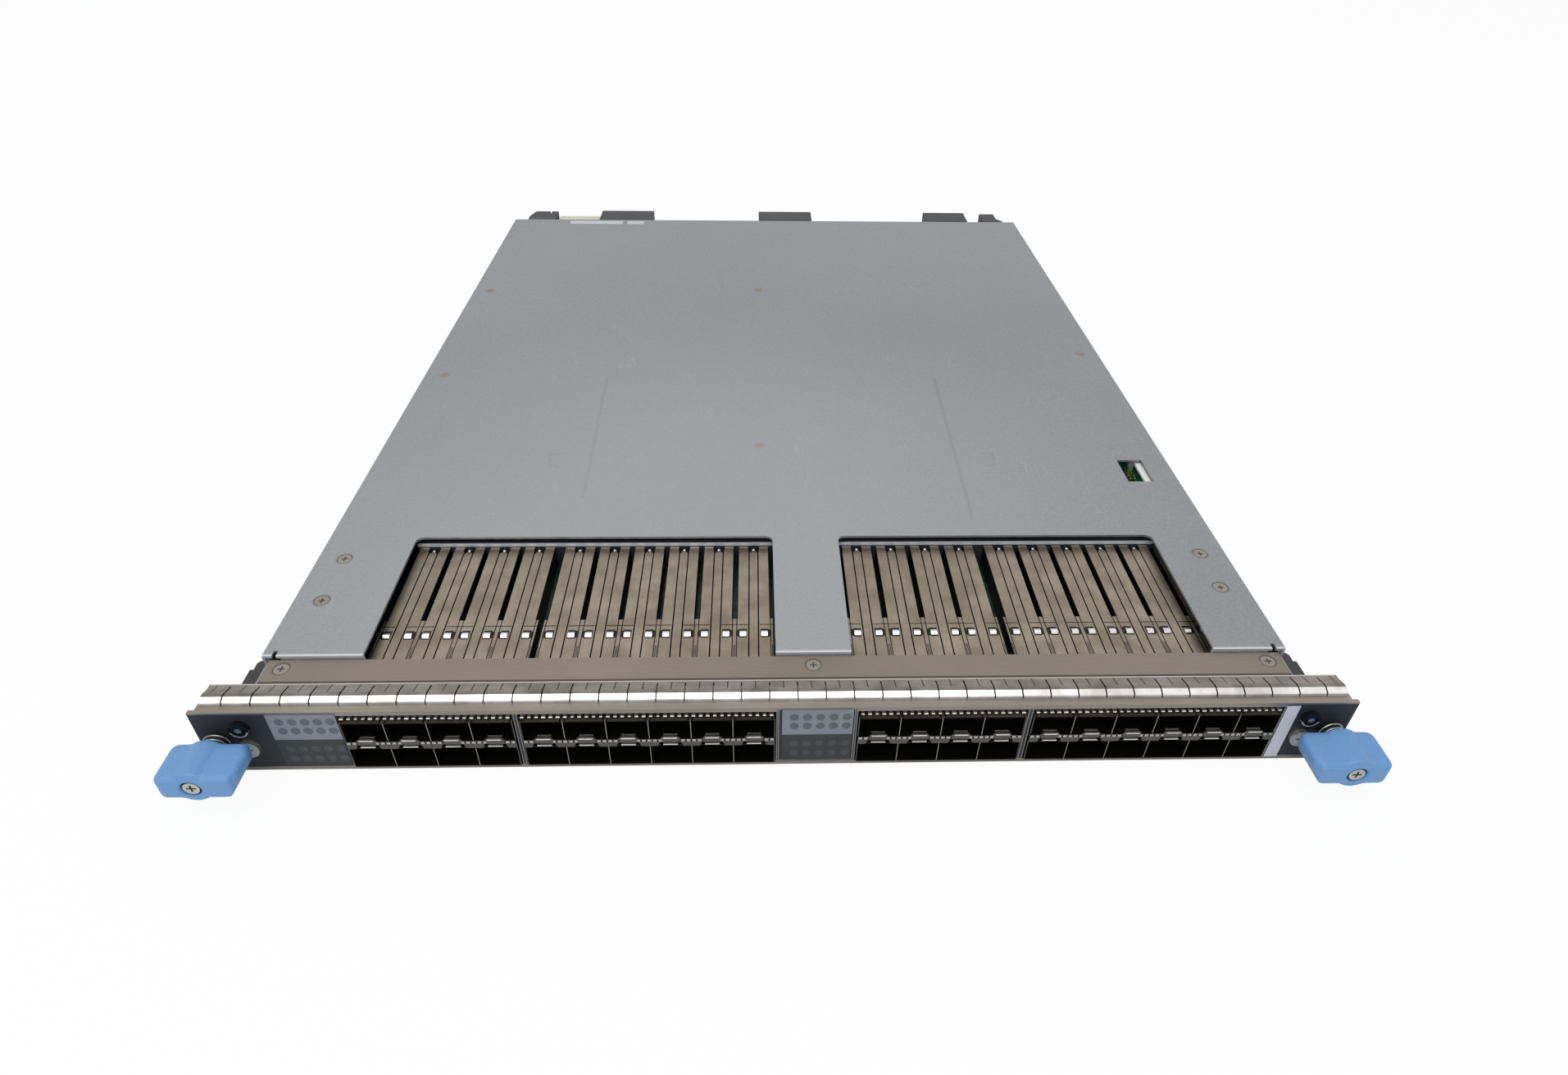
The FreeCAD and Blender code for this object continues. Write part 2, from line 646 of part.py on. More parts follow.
def handle_right():
    """A moulded grip with a boss round the screw and a square hub that keys in the panel."""
    body = new_body("handle_right")
    front = "-dims.handle_front"
    rear = "-dims.handle_gap"
    plan = draw(body, "plan", "XY_Plane", [[
        ("-14.6", rear + " - 4.2"), ("-12.8", rear), ("11.3", rear), ("11.3", front),
        ("-12.8", front), ("-14.4", front + " + 3.2")]])
    block = pad(body, plan, "dims.handle_thick", side="Symmetric")
    corners = fillet(body, block, lambda edge: is_vertical(edge) and edge.Vertexes[0].X > 0,
                     "2.6")
    bevel = draw(body, "bevel", "XZ_Plane", [[
        ("-18", "2"), ("-14.7", "2"), ("-10.6", "-6.2"), ("-18", "-6.2")]])
    slope = pocket(body, bevel, "60", both=True)
    half = dim("handle_thick") / 2
    chamfer(body, slope, lambda edge: all(
        abs(abs(end.Z) - half) < 0.01 for end in edge.Vertexes), "1.3")
    boss = draw(body, "boss", "XZ_Plane", circles=[("0", "0", "dims.boss_radius")],
                lift="dims.handle_front - 0.7")
    pad(body, boss, "dims.handle_front - dims.handle_gap - 0.9", reverse=True)
    recess = draw(body, "head_recess", "XZ_Plane", circles=[("0", "0", "3.3")],
                  lift="dims.handle_front")
    pocket(body, recess, "3.2")
    seat = draw(body, "spring_recess", "XZ_Plane", circles=[("0", "0", "5.2")],
                lift="dims.handle_gap")
    pocket(body, seat, "dims.spring_seat - dims.handle_gap", reverse=True)
    side = "dims.hub_square / 2"
    hub = draw(body, "hub", "XZ_Plane", [rectangle("-" + side, "-" + side, side, side)],
               lift="dims.spring_seat + 0.5")
    pad(body, hub, "dims.spring_seat + 0.5 + dims.hub_end", reverse=True)
    flat = "dims.clip_flat / 2"
    groove = draw(body, "clip_groove", "XZ_Plane", [
        rectangle("-4", "-4", "4", "4"),
        rectangle("-" + flat, "-" + flat, flat, flat)], lift="-1.7")
    pocket(body, groove, "0.7")
    bore = draw(body, "bore", "XZ_Plane", circles=[("0", "0", "1.72")],
                lift="dims.handle_front + 1")
    pocket(body, bore)
    return place(body, "dims.screw_offset", "0", "dims.screw_height")


def mirrored(label, source):
    """The left-hand twin of a right-hand piece."""
    twin = doc.addObject("Part::Mirroring", label)
    twin.Label = label
    twin.Source = source
    twin.Base = Vector(0, 0, 0)
    twin.Normal = Vector(1, 0, 0)
    sub_parts.append(twin)
    return twin


def captive_screw(label, side):
    """A cross-head captive screw: waisted shank through the hub, thread beyond it."""
    body = new_body(label)
    section = draw(body, "half_section", "XY_Plane", [[
        ("0", "-19.6"), ("2.6", "-19.6"), ("2.6", "-17.1"), ("1.66", "-17.1"), ("1.66", "4.0"),
        ("2.0", "4.0"), ("2.0", "14.6"), ("0", "14.6")]])
    revolve(body, section)
    recess = draw(body, "recess", "XZ_Plane", [cross("1.6", "0.35")], lift="19.6")
    pocket(body, recess, "1.5")
    return place(body, side + "dims.screw_offset", "0", "dims.screw_height")


def spring(label, side):
    """The coil that pushes the handle off the panel, in short straight runs of wire."""
    runs = 8
    turns = int(dim("spring_turns"))
    path = doc.addObject("Part::Polygon", label + "_path")
    nodes = []
    for step in range(turns * runs + 1):
        angle = 2 * math.pi * step / runs
        nodes.append(Vector(dim("spring_radius") * math.cos(angle),
                            dim("spring_radius") * math.sin(angle),
                            dim("spring_length") * step / (turns * runs)))
    path.Nodes = nodes
    wire = doc.addObject("Part::RegularPolygon", label + "_wire")
    wire.Polygon = 6
    wire.setExpression("Circumradius", "dims.spring_wire")
    along = (nodes[1] - nodes[0]).normalize()
    wire.Placement = Placement(nodes[0], Rotation(Vector(0, 0, 1), along))
    coil = doc.addObject("Part::Sweep", label)
    coil.Label = label
    coil.Sections = [wire]
    coil.Spine = path
    coil.Solid = True
    coil.Transition = "Right corner"
    return place(coil, side + "dims.screw_offset", "-0.75", "dims.screw_height",
                 Rotation(Vector(1, 0, 0), 90))


def retaining_clip(label, side):
    """The slotted clip pushed onto the flats of the hub's groove, which stops behind the panel."""
    body = new_body(label)
    disc = draw(body, "disc", "XZ_Plane", circles=[("0", "0", "4.6")])
    pad(body, disc, "0.6", reverse=True)
    gap = "dims.clip_flat / 2 + 0.05"
    mouth = draw(body, "mouth", "XZ_Plane", [rectangle("-(%s)" % gap, "-6", gap, gap)])
    pocket(body, mouth, "1.5", both=True)
    return place(body, side + "dims.screw_offset", "1.72", "dims.screw_height")


def side_bracket_right():
    """A cast guide that ties the panel to the tray, stepped in towards its rear end."""
    body = new_body("side_bracket_right")
    plan = draw(body, "plan", "XY_Plane", [[
        ("176.5", "1.5"), ("184.9", "1.5"), ("184.9", "16"), ("187", "16"), ("187", "24.6"),
        ("185.8", "24.6"), ("185.8", "27.7"), ("184.9", "29"), ("182.6", "29"),
        ("182.6", "26.2"), ("181.3", "26.2"), ("181.3", "3.8"), ("176.5", "3.8")]])
    pad(body, plan, "21")
    return place(body, "0", "0", "3")


# ---------------------------------------------------------------- build

front_panel()
indicator_plate("indicator_plate_left", "-170.9", "22.6")
indicator_plate("indicator_plate_middle", "-0.6", "24")
emi_gasket()
tray()
circuit_board()
top_cover()
front_strip()
posts()
fasteners()
for number, (first_port, port_count) in enumerate(PORT_GROUPS, start=1):
    cage("upper_cage_%d" % number, first_port, port_count)
    cage("lower_cage_%d" % number, first_port, port_count, lower=True)
    latch_band("latch_band_%d" % number, first_port, port_count)
cage_dividers()
port_connectors()
stiffener_bar()
backplane_connector("backplane_connector_left", "-104", "38.6")
backplane_connector("backplane_connector_middle", "14", "39.4")
backplane_connector("backplane_connector_right", "135", "30.6")
power_connector()
guide_block("guide_block_left", "-169", [
    ("-6.5", "0"), ("13", "0"), ("13", "23.5"), ("8.2", "23.5"), ("8.2", "18"), ("7", "18"),
    ("7", "23.5"), ("-3.5", "23.5"), ("-6.5", "13")])
guide_block("guide_block_right", "167.6", [
    ("-5.4", "0"), ("9", "0"), ("9", "8"), ("5.4", "13"), ("5.4", "23.5"), ("-5.4", "23.5")])
service_header()
heat_sink("heat_sink_left", "-80", "260")
heat_sink("heat_sink_right", "80", "260")
chips()
grip = handle_right()
mirrored("handle_left", grip)
for name, sign in (("left", "-"), ("right", "")):
    captive_screw("captive_screw_" + name, sign)
    spring("spring_" + name, sign)
    retaining_clip("retaining_clip_" + name, sign)
casting = side_bracket_right()
mirrored("side_bracket_left", casting)

doc.recompute()

# ---------------------------------------------------------------- checks and export

for item in doc.Objects:
    if "Invalid" in item.State or "Error" in item.State:
        raise RuntimeError("%s did not build: %s" % (item.Label, item.State))
    if item.TypeId == "PartDesign::Pocket":
        removed = item.BaseFeature.Shape.Volume - item.Shape.Volume
        if removed < 0.01:
            raise RuntimeError("%s cuts nothing" % item.Label)

os.makedirs("parts", exist_ok=True)
for sub_part in sub_parts:
    shape = sub_part.Shape
    if shape.isNull() or not shape.isValid() or shape.Volume <= 0:
        raise RuntimeError("%s has no valid solid" % sub_part.Label)
    shape.exportStep("parts/%s.step" % sub_part.Label)
    print("%-28s %2d solids %10.1f mm3" % (sub_part.Label, len(shape.Solids), shape.Volume))
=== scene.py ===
# %% [markdown]
# # A switch line card on a white table
#
# The CAD model is loaded first, as a fixed frame of named pieces. Everything that follows either
# gives one of those pieces a finish or adds a piece too fine for the CAD: latch springs, printed
# dots, wound coils. Nothing in the frame is moved, so each added piece takes its place from the
# box of the piece that carries it.

# %% Load the frame
import math
from functools import reduce

import bmesh
import bpy
from mathutils import Matrix, Vector


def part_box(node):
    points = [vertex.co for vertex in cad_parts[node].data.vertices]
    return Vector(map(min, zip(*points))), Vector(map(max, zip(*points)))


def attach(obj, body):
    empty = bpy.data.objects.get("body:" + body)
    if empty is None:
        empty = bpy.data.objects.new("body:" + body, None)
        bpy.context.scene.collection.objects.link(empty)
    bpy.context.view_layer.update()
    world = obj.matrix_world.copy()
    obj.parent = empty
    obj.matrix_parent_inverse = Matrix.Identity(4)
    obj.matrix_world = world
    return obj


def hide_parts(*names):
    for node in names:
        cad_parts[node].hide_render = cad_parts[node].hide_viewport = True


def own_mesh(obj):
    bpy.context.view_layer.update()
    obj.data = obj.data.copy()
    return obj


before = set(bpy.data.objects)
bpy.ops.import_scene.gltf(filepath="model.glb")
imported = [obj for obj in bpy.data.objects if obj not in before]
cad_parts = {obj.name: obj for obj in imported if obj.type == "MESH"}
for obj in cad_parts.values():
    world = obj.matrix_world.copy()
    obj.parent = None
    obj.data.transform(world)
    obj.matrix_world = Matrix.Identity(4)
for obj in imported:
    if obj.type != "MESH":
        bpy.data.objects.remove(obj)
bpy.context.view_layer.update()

# %% [markdown]
# ## Where things are
#
# The card's drawing measures depth from the panel's front face and everything else in
# millimetres. Two helpers turn such measures into the frame, which is in metres with its origin
# in the middle of the footprint. It could be done with an empty as a parent, but then the
# patterns in the materials would be read from the wrong place.

# %% A point of the drawing
MM = 0.001
PANEL_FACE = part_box("front_panel")[0][1]


def deep(y):
    """The depth in the frame of something y millimetres behind the panel's face."""
    return PANEL_FACE + y * MM


def at(x, y, z):
    """The place in the frame of a point measured in millimetres from the panel's face."""
    return Vector((x * MM, deep(y), z * MM))


COVER_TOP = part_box("top_cover")[1][2] / MM
BOARD_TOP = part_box("circuit_board")[1][2] / MM
PITCH = 14.25
GROUPS = ((-147.8, 4), (-88.5, 6), (25.4, 4), (84.9, 6))
PORT_CENTRES = [start + (index + 0.5) * PITCH for start, count in GROUPS for index in range(count)]
print("ports in a row:", len(PORT_CENTRES), "- cover top at", round(COVER_TOP, 2), "mm")

# %% [markdown]
# ## The camera
#
# A card this long is shown from a little above the front, near enough for the sides to draw
# together. A short lens close by does that. A long lens further off would make the cover look
# like a plain rectangle. The camera's angles are in radians, as everywhere in the scene.

# %% Camera
TILT, ROLL, TURN = 0.916946, -0.015684, -0.027038
camera_data = bpy.data.cameras.new("front_camera")
camera_data.lens = 21.648
camera_data.sensor_width = 36.0
camera_data.clip_start = 0.01
camera = bpy.data.objects.new("front_camera", camera_data)
camera.location = at(-9.6, -214.86, 265.21)
camera.rotation_euler = (TILT, ROLL, TURN)
bpy.context.collection.objects.link(camera)
bpy.context.scene.camera = camera
bpy.context.scene.view_settings.view_transform = "Standard"
print("lens", camera_data.lens, "mm, looking down", round(90 - math.degrees(TILT), 1), "degrees")

# %% [markdown]
# ## Wiring nodes
#
# The world, the materials and the shapes that repeat are all node trees. One helper wires them
# all: it makes a node, sets it up, and gives each socket a plain value or a link. A second does
# the same for Math nodes, the commonest kind. Trees drawn by hand would do the same, but a short
# line of text for each node is easier to read, compare and change.

# %% Node helpers
def add(tree, kind, entries=None, **settings):
    """A node with its settings; each entry is a plain value or another node's output."""
    made = tree.nodes.new(kind)
    for name, value in settings.items():
        setattr(made, name, value)
    for socket, entry in (entries or {}).items():
        if isinstance(entry, bpy.types.NodeSocket):
            tree.links.new(entry, made.inputs[socket])
        else:
            made.inputs[socket].default_value = entry
    return made


def maths(tree, operation, *entries):
    """The result of a Math node; each entry is an output or a number."""
    return add(tree, "ShaderNodeMath", dict(enumerate(entries)), operation=operation).outputs[0]


def surface_of(tree, mask, first, second, output):
    """Ends a tree with the first shader, turned into the second where the mask is 1."""
    blend = add(tree, "ShaderNodeMixShader", {0: mask, 1: first.outputs[0], 2: second.outputs[0]})
    add(tree, output, {"Surface": blend.outputs[0]})


print("helpers:", add.__name__, maths.__name__, surface_of.__name__)

# %% [markdown]
# ## The table and the light
#
# Plated metal is only as good as what it mirrors. Here the world is plain white for the camera
# and for mirrored rays, and a little dimmer for the rays that light matt things. Two broad soft
# lamps give the folds an edge. Small hard lamps would print bright dots on every screw.

# %% World and lamps
world = bpy.data.worlds.new("white_room")
world.use_nodes = True
bpy.context.scene.world = world
room = world.node_tree
room.nodes.clear()
ray = add(room, "ShaderNodeLightPath").outputs
mirrored = maths(room, "MAXIMUM", ray["Is Glossy Ray"], ray["Is Transmission Ray"])
seen = maths(room, "MAXIMUM", ray["Is Camera Ray"], mirrored)
dim_light = add(room, "ShaderNodeBackground", {"Color": (0.93, 0.96, 1.0, 1), "Strength": 0.62})
white_wall = add(room, "ShaderNodeBackground", {"Color": (1, 1, 1, 1), "Strength": 1.0})
surface_of(room, seen, dim_light, white_wall, "ShaderNodeOutputWorld")


def soft_lamp(name, place, aim, size, power):
    """A square soft lamp at place, turned towards aim."""
    data = bpy.data.lights.new(name, "AREA")
    data.shape = "SQUARE"
    data.size = size
    data.energy = power
    lamp = bpy.data.objects.new(name, data)
    lamp.location = place
    lamp.rotation_euler = (Vector(aim) - Vector(place)).to_track_quat("-Z", "Y").to_euler()
    bpy.context.collection.objects.link(lamp)


soft_lamp("overhead_lamp", (-0.25, -0.35, 1.5), (0, 0, 0), 1.2, 9)
soft_lamp("front_lamp", (-0.35, -1.4, 0.9), (0, -0.2, 0), 0.8, 4)

# %% [markdown]
# **The table** is one wide white face, a hair under the card. It is mostly a glow that only the
# camera sees, and the rest is matt, so that a soft pale shadow stays under the card. A plain
# white sheet would turn grey wherever the lamps don't reach.

# %% Table
GLOW_SHARE = 0.93
TABLE_REACH = 6.0
TABLE_LEVEL = -0.0003


def table_finish():
    material = bpy.data.materials.new("white_table")
    material.use_nodes = True
    tree = material.node_tree
    tree.nodes.clear()
    matt = add(tree, "ShaderNodeBsdfDiffuse", {"Color": (0.9, 0.9, 0.9, 1)})
    glow = add(tree, "ShaderNodeEmission", {"Color": (1, 1, 1, 1), "Strength": 1.0})
    by_camera = add(tree, "ShaderNodeLightPath").outputs["Is Camera Ray"]
    surface_of(tree, maths(tree, "MULTIPLY", by_camera, GLOW_SHARE), matt, glow,
               "ShaderNodeOutputMaterial")
    return material


table_mesh = bpy.data.meshes.new("table")
corners = [(x * TABLE_REACH, y * TABLE_REACH, TABLE_LEVEL)
           for x, y in ((-1, -1), (1, -1), (1, 1), (-1, 1))]
table_mesh.from_pydata(corners, [], [(0, 1, 2, 3)])
table_mesh.materials.append(table_finish())
table = bpy.data.objects.new("table", table_mesh)
bpy.context.collection.objects.link(table)
print(table.name, "reaches", TABLE_REACH, "m each way, at", round(TABLE_LEVEL / MM, 1), "mm")

# %% [markdown]
# ## A small vocabulary of surface effects
#
# Rolled sheet, plating and moulded plastic share a few marks: a fine grain, cloudy patches,
# hair scratches, single scuffs and round spots left by welding. Each is a node group with named
# inputs, made once and placed in any material with its own values. Image textures would be the
# quick way, but they need unwrapped pieces and blur close up. Groups read the piece's own
# coordinates and stay sharp.

# %% Helpers for the groups
def vectors(tree, operation, *entries):
    """The result of a Vector Math node: a number for a distance or a dot product."""
    made = add(tree, "ShaderNodeVectorMath", dict(enumerate(entries)), operation=operation)
    return made.outputs["Value" if operation in ("DISTANCE", "DOT_PRODUCT") else "Vector"]


def ramp_of(tree, value, low, high):
    """0 at low and 1 at high, smooth between them."""
    return add(tree, "ShaderNodeMapRange", {0: value, 1: low, 2: high},
               interpolation_type="SMOOTHSTEP").outputs[0]


def inverse(tree, mask):
    return maths(tree, "SUBTRACT", 1.0, mask)


def clamped(tree, value):
    return maths(tree, "MINIMUM", maths(tree, "MAXIMUM", value, 0.0), 1.0)


def noise_of(tree, place, scale, detail, roughness):
    return add(tree, "ShaderNodeTexNoise", {"Vector": place, "Scale": scale, "Detail": detail,
                                            "Roughness": roughness}).outputs[0]


def new_group(name, inputs, outputs):
    """An empty shader group that reads a place and the inputs, with their usual values."""
    group = bpy.data.node_groups.new(name, "ShaderNodeTree")
    face = group.interface
    face.new_socket("Place", in_out="INPUT", socket_type="NodeSocketVector")
    for label, value in inputs.items():
        kind = "NodeSocketVector" if isinstance(value, tuple) else "NodeSocketFloat"
        face.new_socket(label, in_out="INPUT", socket_type=kind).default_value = value
    for label in outputs:
        face.new_socket(label, in_out="OUTPUT", socket_type="NodeSocketFloat")
    return group, add(group, "NodeGroupInput").outputs


print("helpers:", vectors.__name__, ramp_of.__name__, noise_of.__name__, new_group.__name__)

# %% [markdown]
# **Grain** is a noise squeezed along one axis, as rolling squeezes the crystals of a sheet.
# **Cloud** is the same noise, large and with its contrast raised, for uneven plating.

# %% Grain and cloud
def make_grain():
    group, given = new_group("grain", {"Stretch": (1, 1, 1), "Fineness": 900.0}, ["Grain"])
    squeezed = vectors(group, "MULTIPLY", given["Place"], given["Stretch"])
    grain = noise_of(group, squeezed, given["Fineness"], 3.0, 0.6)
    add(group, "NodeGroupOutput", {"Grain": grain})
    return group


def make_cloud():
    group, given = new_group("cloud", {"Size": 12.0, "Contrast": 2.0}, ["Cloud"])
    noise = noise_of(group, given["Place"], given["Size"], 4.0, 0.55)
    centred = maths(group, "SUBTRACT", noise, 0.5)
    raised = maths(group, "MULTIPLY_ADD", centred, given["Contrast"], 0.5)
    add(group, "NodeGroupOutput", {"Cloud": clamped(group, raised)})
    return group


GRAIN = make_grain()
CLOUD = make_cloud()
print("groups:", GRAIN.name, CLOUD.name)

# %% [markdown]
# **Hair scratches** come from handling. A long thin noise crosses its middle value along thin
# wandering lines: keeping only a narrow band round that value leaves hairs, and a cloud thins
# them out. A wave texture would give hairs too, but evenly spaced, like a comb's. **Scuffs** and
# **spots** are measured from a line and from a point, so each lies exactly where it is wanted.

# %% Hair scratches, scuffs and round spots
def make_scratches():
    group, given = new_group("hair_scratches", {"Stretch": (1, 8, 1), "Fineness": 60.0,
                                                "Width": 0.012}, ["Scratches"])
    squeezed = vectors(group, "MULTIPLY", given["Place"], given["Stretch"])
    noise = noise_of(group, squeezed, given["Fineness"], 1.5, 0.5)
    away = maths(group, "ABSOLUTE", maths(group, "SUBTRACT", noise, 0.5))
    line = inverse(group, ramp_of(group, away, 0.0, given["Width"]))
    few = ramp_of(group, noise_of(group, given["Place"], 34.0, 2.0, 0.5), 0.52, 0.66)
    add(group, "NodeGroupOutput", {"Scratches": maths(group, "MULTIPLY", line, few)})
    return group


def make_scuff():
    """A soft mark along a straight line between two points."""
    group, given = new_group("scuff", {"From": (0, 0, 0), "To": (0, 1, 0), "Width": 0.001},
                             ["Mark"])
    run = vectors(group, "SUBTRACT", given["To"], given["From"])
    here = vectors(group, "SUBTRACT", given["Place"], given["From"])
    along = vectors(group, "DOT_PRODUCT", here, run)
    length = vectors(group, "DOT_PRODUCT", run, run)
    share = clamped(group, maths(group, "DIVIDE", along, length))
    foot = add(group, "ShaderNodeVectorMath", {0: run, "Scale": share}, operation="SCALE")
    apart = vectors(group, "DISTANCE", here, foot.outputs[0])
    mark = inverse(group, ramp_of(group, apart, 0.0, given["Width"]))
    add(group, "NodeGroupOutput", {"Mark": mark})
    return group


def make_spot():
    """A round spot and its rim, such as a weld leaves on the far side of a sheet."""
    group, given = new_group("weld_spot", {"Centre": (0, 0, 0), "Radius": 0.002},
                             ["Disc", "Rim"])
    apart = vectors(group, "DISTANCE", given["Place"], given["Centre"])
    ratio = maths(group, "DIVIDE", apart, given["Radius"])
    off_rim = maths(group, "ABSOLUTE", maths(group, "SUBTRACT", ratio, 1.0))
    add(group, "NodeGroupOutput", {"Disc": inverse(group, ramp_of(group, ratio, 0.85, 1.1)),
                                   "Rim": inverse(group, ramp_of(group, off_rim, 0.0, 0.22))})
    return group


SCRATCHES = make_scratches()
SCUFF = make_scuff()
SPOT = make_spot()
print("groups:", SCRATCHES.name, SCUFF.name, SPOT.name)

# %% [markdown]
# ## Where on a surface?
#
# A finish has to know where it is: on the front edge, above a height, between two depths. Each
# answer is a mask, 1 inside and 0 outside, and masks multiply and combine. Their limits are the
# drawing's millimetres, so a mark can be read off the drawing and checked against it. Painted
# masks would need every piece unwrapped.

# %% Coordinates, effects and masks
class Surface:
    """A material's tree with the coordinates of its surface, and masks read from them."""

    def __init__(self, name):
        self.material = bpy.data.materials.new(name)
        self.material.use_nodes = True
        self.tree = self.material.node_tree
        self.tree.nodes.clear()
        self.place = add(self.tree, "ShaderNodeTexCoord").outputs["Object"]
        self.axes = None

    def axis(self, index):
        """One coordinate of the surface, in metres."""
        if self.axes is None:
            self.axes = add(self.tree, "ShaderNodeSeparateXYZ", {0: self.place})
        return self.axes.outputs[index]

    def effect(self, group, values, output):
        """The named output of a group that reads this surface."""
        return add(self.tree, "ShaderNodeGroup", {"Place": self.place, **values},
                   node_tree=group).outputs[output]

    def grain(self, fineness, stretch=(1.0, 1.0, 1.0)):
        return self.effect(GRAIN, {"Stretch": stretch, "Fineness": fineness}, "Grain")

    def cloud(self, size, contrast):
        return self.effect(CLOUD, {"Size": size, "Contrast": contrast}, "Cloud")

    def both(self, *masks):
        return reduce(lambda one, other: maths(self.tree, "MULTIPLY", one, other), masks)

    def either(self, *masks):
        return reduce(lambda one, other: maths(self.tree, "MAXIMUM", one, other), masks)

    def over(self, value, limit):
        """1 where a value in metres is above a limit in millimetres; under is its mirror."""
        return maths(self.tree, "GREATER_THAN", value, limit * MM)

    def under(self, value, limit):
        return maths(self.tree, "LESS_THAN", value, limit * MM)

    def between(self, value, low, high):
        return self.both(self.over(value, low), self.under(value, high))

    def across(self, low, high):
        """1 between two places from left to right, in millimetres; level is the same upwards."""
        return self.between(self.axis(0), low, high)

    def level(self, low, high):
        return self.between(self.axis(2), low, high)

    def behind(self, low, high):
        """1 between two depths, in millimetres behind the panel's face."""
        return self.between(self.axis(1), deep(low) / MM, deep(high) / MM)

    def beyond(self, depth):
        """1 further back than a depth."""
        return self.over(self.axis(1), deep(depth) / MM)


print("masks:", [word for word in vars(Surface) if not word.startswith("_")])

# %% [markdown]
# ## A material from its parts
#
# Every finish here is a Principled shader on such a surface. Its colour starts as a mix of two
# and is tinted through one mask after another, and its roughness and bump follow the grain. So
# each material below reads as a list of what its surface has.

# %% The finish helper
def srgb(red, green, blue):
    """A colour as a paint chip is read, 0 to 255, turned into the shader's own scale."""
    linear = []
    for part in (red, green, blue):
        share = part / 255
        linear.append(share / 12.92 if share <= 0.04045 else ((share + 0.055) / 1.055) ** 2.4)
    return (*linear, 1.0)


def darker(colour, share):
    return (*[share * part for part in colour[:3]], 1.0)


class Finish(Surface):
    """A material under construction: its surface, its shader and its colour so far."""

    def __init__(self, name, metallic, roughness):
        super().__init__(name)
        self.shader = add(self.tree, "ShaderNodeBsdfPrincipled",
                          {"Metallic": metallic, "Roughness": roughness})
        add(self.tree, "ShaderNodeOutputMaterial", {"Surface": self.shader.outputs[0]})
        self.colour = None

    def mix(self, factor, first, second):
        """The first colour, turned into the second where the mask is 1."""
        return add(self.tree, "ShaderNodeMix", {"Factor": factor, 6: first, 7: second},
                   data_type="RGBA").outputs[2]

    def tinted(self, colour, mask, share, tint):
        """A colour turned part of the way into another where the mask is 1."""
        return self.mix(maths(self.tree, "MULTIPLY", mask, share), colour, tint)

    def tint(self, mask, share, tint):
        self.colour = self.tinted(self.colour, mask, share, tint)

    def send(self, source, name):
        self.tree.links.new(source, self.shader.inputs[name])

    def close(self, mask, smooth, matt):
        """Hands over the colour, and a roughness that goes from smooth to matt with the mask."""
        self.send(self.colour, "Base Color")
        span = add(self.tree, "ShaderNodeMapRange", {0: mask, 3: smooth, 4: matt})
        self.send(span.outputs[0], "Roughness")
        return self

    def bump(self, height, depth, strength):
        made = add(self.tree, "ShaderNodeBump", {"Strength": strength, "Distance": depth,
                                                 "Height": height})
        self.send(made.outputs[0], "Normal")
        return self


print("finish:", [word for word in vars(Finish) if not word.startswith("_")])

# %% [markdown]
# ## Zinc-plated sheet
#
# Cover and tray are folded from plated steel that has been slid in and out of racks: an even
# satin grey, a faint rolling grain, cloudy patches and a few hairs. The cover also shows where
# posts are welded under it, a dark ring of painted shade round each screw's seat and a handful of
# longer scuffs. A paler patch near its front is painted light, standing for the lamps' fall-off,
# and its front fold is a painted highlight. Marks are laid over the sheet one after another,
# palest last.

# %% Zinc sheet
WELD_SPOTS = ((-7.1, 348.8), (-7.1, 164.9), (-172.4, 345.7), (172.4, 261.0), (-172.1, 235.0))
COVER_SCREWS = ((-171.9, 80.8), (-171.9, 55.8), (171.9, 81.6), (171.9, 60.5))
# The cover screws' rims are painted shade of the gap round each seat; the welds' discs and rims
# are the sheet's own marks.
ROUND_MARKS = ((WELD_SPOTS, 2.5, "Disc", 0.95, srgb(134, 121, 115)),
               (WELD_SPOTS, 2.6, "Rim", 0.35, srgb(120, 114, 112)),
               (COVER_SCREWS, 3.1, "Rim", 0.55, srgb(96, 95, 94)))
SCUFFS = (((-87, 232), (-84, 123), 1.5, 0.40), ((86, 232), (83, 106), 1.5, 0.40),
          ((-104, 158), (-99, 158), 1.2, 0.34), ((-104, 158), (-103, 148), 1.2, 0.32),
          ((-103, 148), (-99, 147), 1.2, 0.24), ((96, 158), (102, 158), 1.2, 0.32),
          ((102, 158), (101, 148), 1.2, 0.34), ((101, 148), (97, 147), 1.2, 0.24),
          ((-40, 420), (-25, 330), 2.0, 0.08), ((30, 300), (52, 210), 1.6, 0.08))
LIT_PATCH_CENTRE = (-38, 85)
LIT_PATCH_CORE, LIT_PATCH_REACH = 0.05, 0.26
FRONT_FOLD = (26.5, 27.8)


def spots_on(finish, places, height, radius, output):
    """One mask for round marks of one radius at several places of a height."""
    return finish.either(*[finish.effect(SPOT, {"Centre": at(x, y, height),
                                                "Radius": radius * MM}, output)
                           for x, y in places])


def cover_marks(zinc):
    for places, radius, output, share, tint in ROUND_MARKS:
        zinc.tint(spots_on(zinc, places, COVER_TOP, radius, output), share, tint)
    for start, end, width, share in SCUFFS:
        mark = zinc.effect(SCUFF, {"From": at(*start, COVER_TOP), "To": at(*end, COVER_TOP),
                                   "Width": width * MM}, "Mark")
        zinc.tint(mark, share, srgb(112, 112, 117))
    # Painted light: a paler patch near the front stands in for the lamps' fall-off towards the
    # back and sides.
    apart = vectors(zinc.tree, "DISTANCE", zinc.place, at(*LIT_PATCH_CENTRE, COVER_TOP))
    lit_patch = ramp_of(zinc.tree, apart, LIT_PATCH_REACH, LIT_PATCH_CORE)
    zinc.tint(lit_patch, 0.38, srgb(176, 178, 181))
    # Painted highlight: the front fold, where the sheet bends down, is lightened almost to white.
    past_fold = ramp_of(zinc.tree, zinc.axis(1), *[deep(y) for y in FRONT_FOLD])
    zinc.tint(inverse(zinc.tree, past_fold), 0.85, srgb(218, 219, 224))


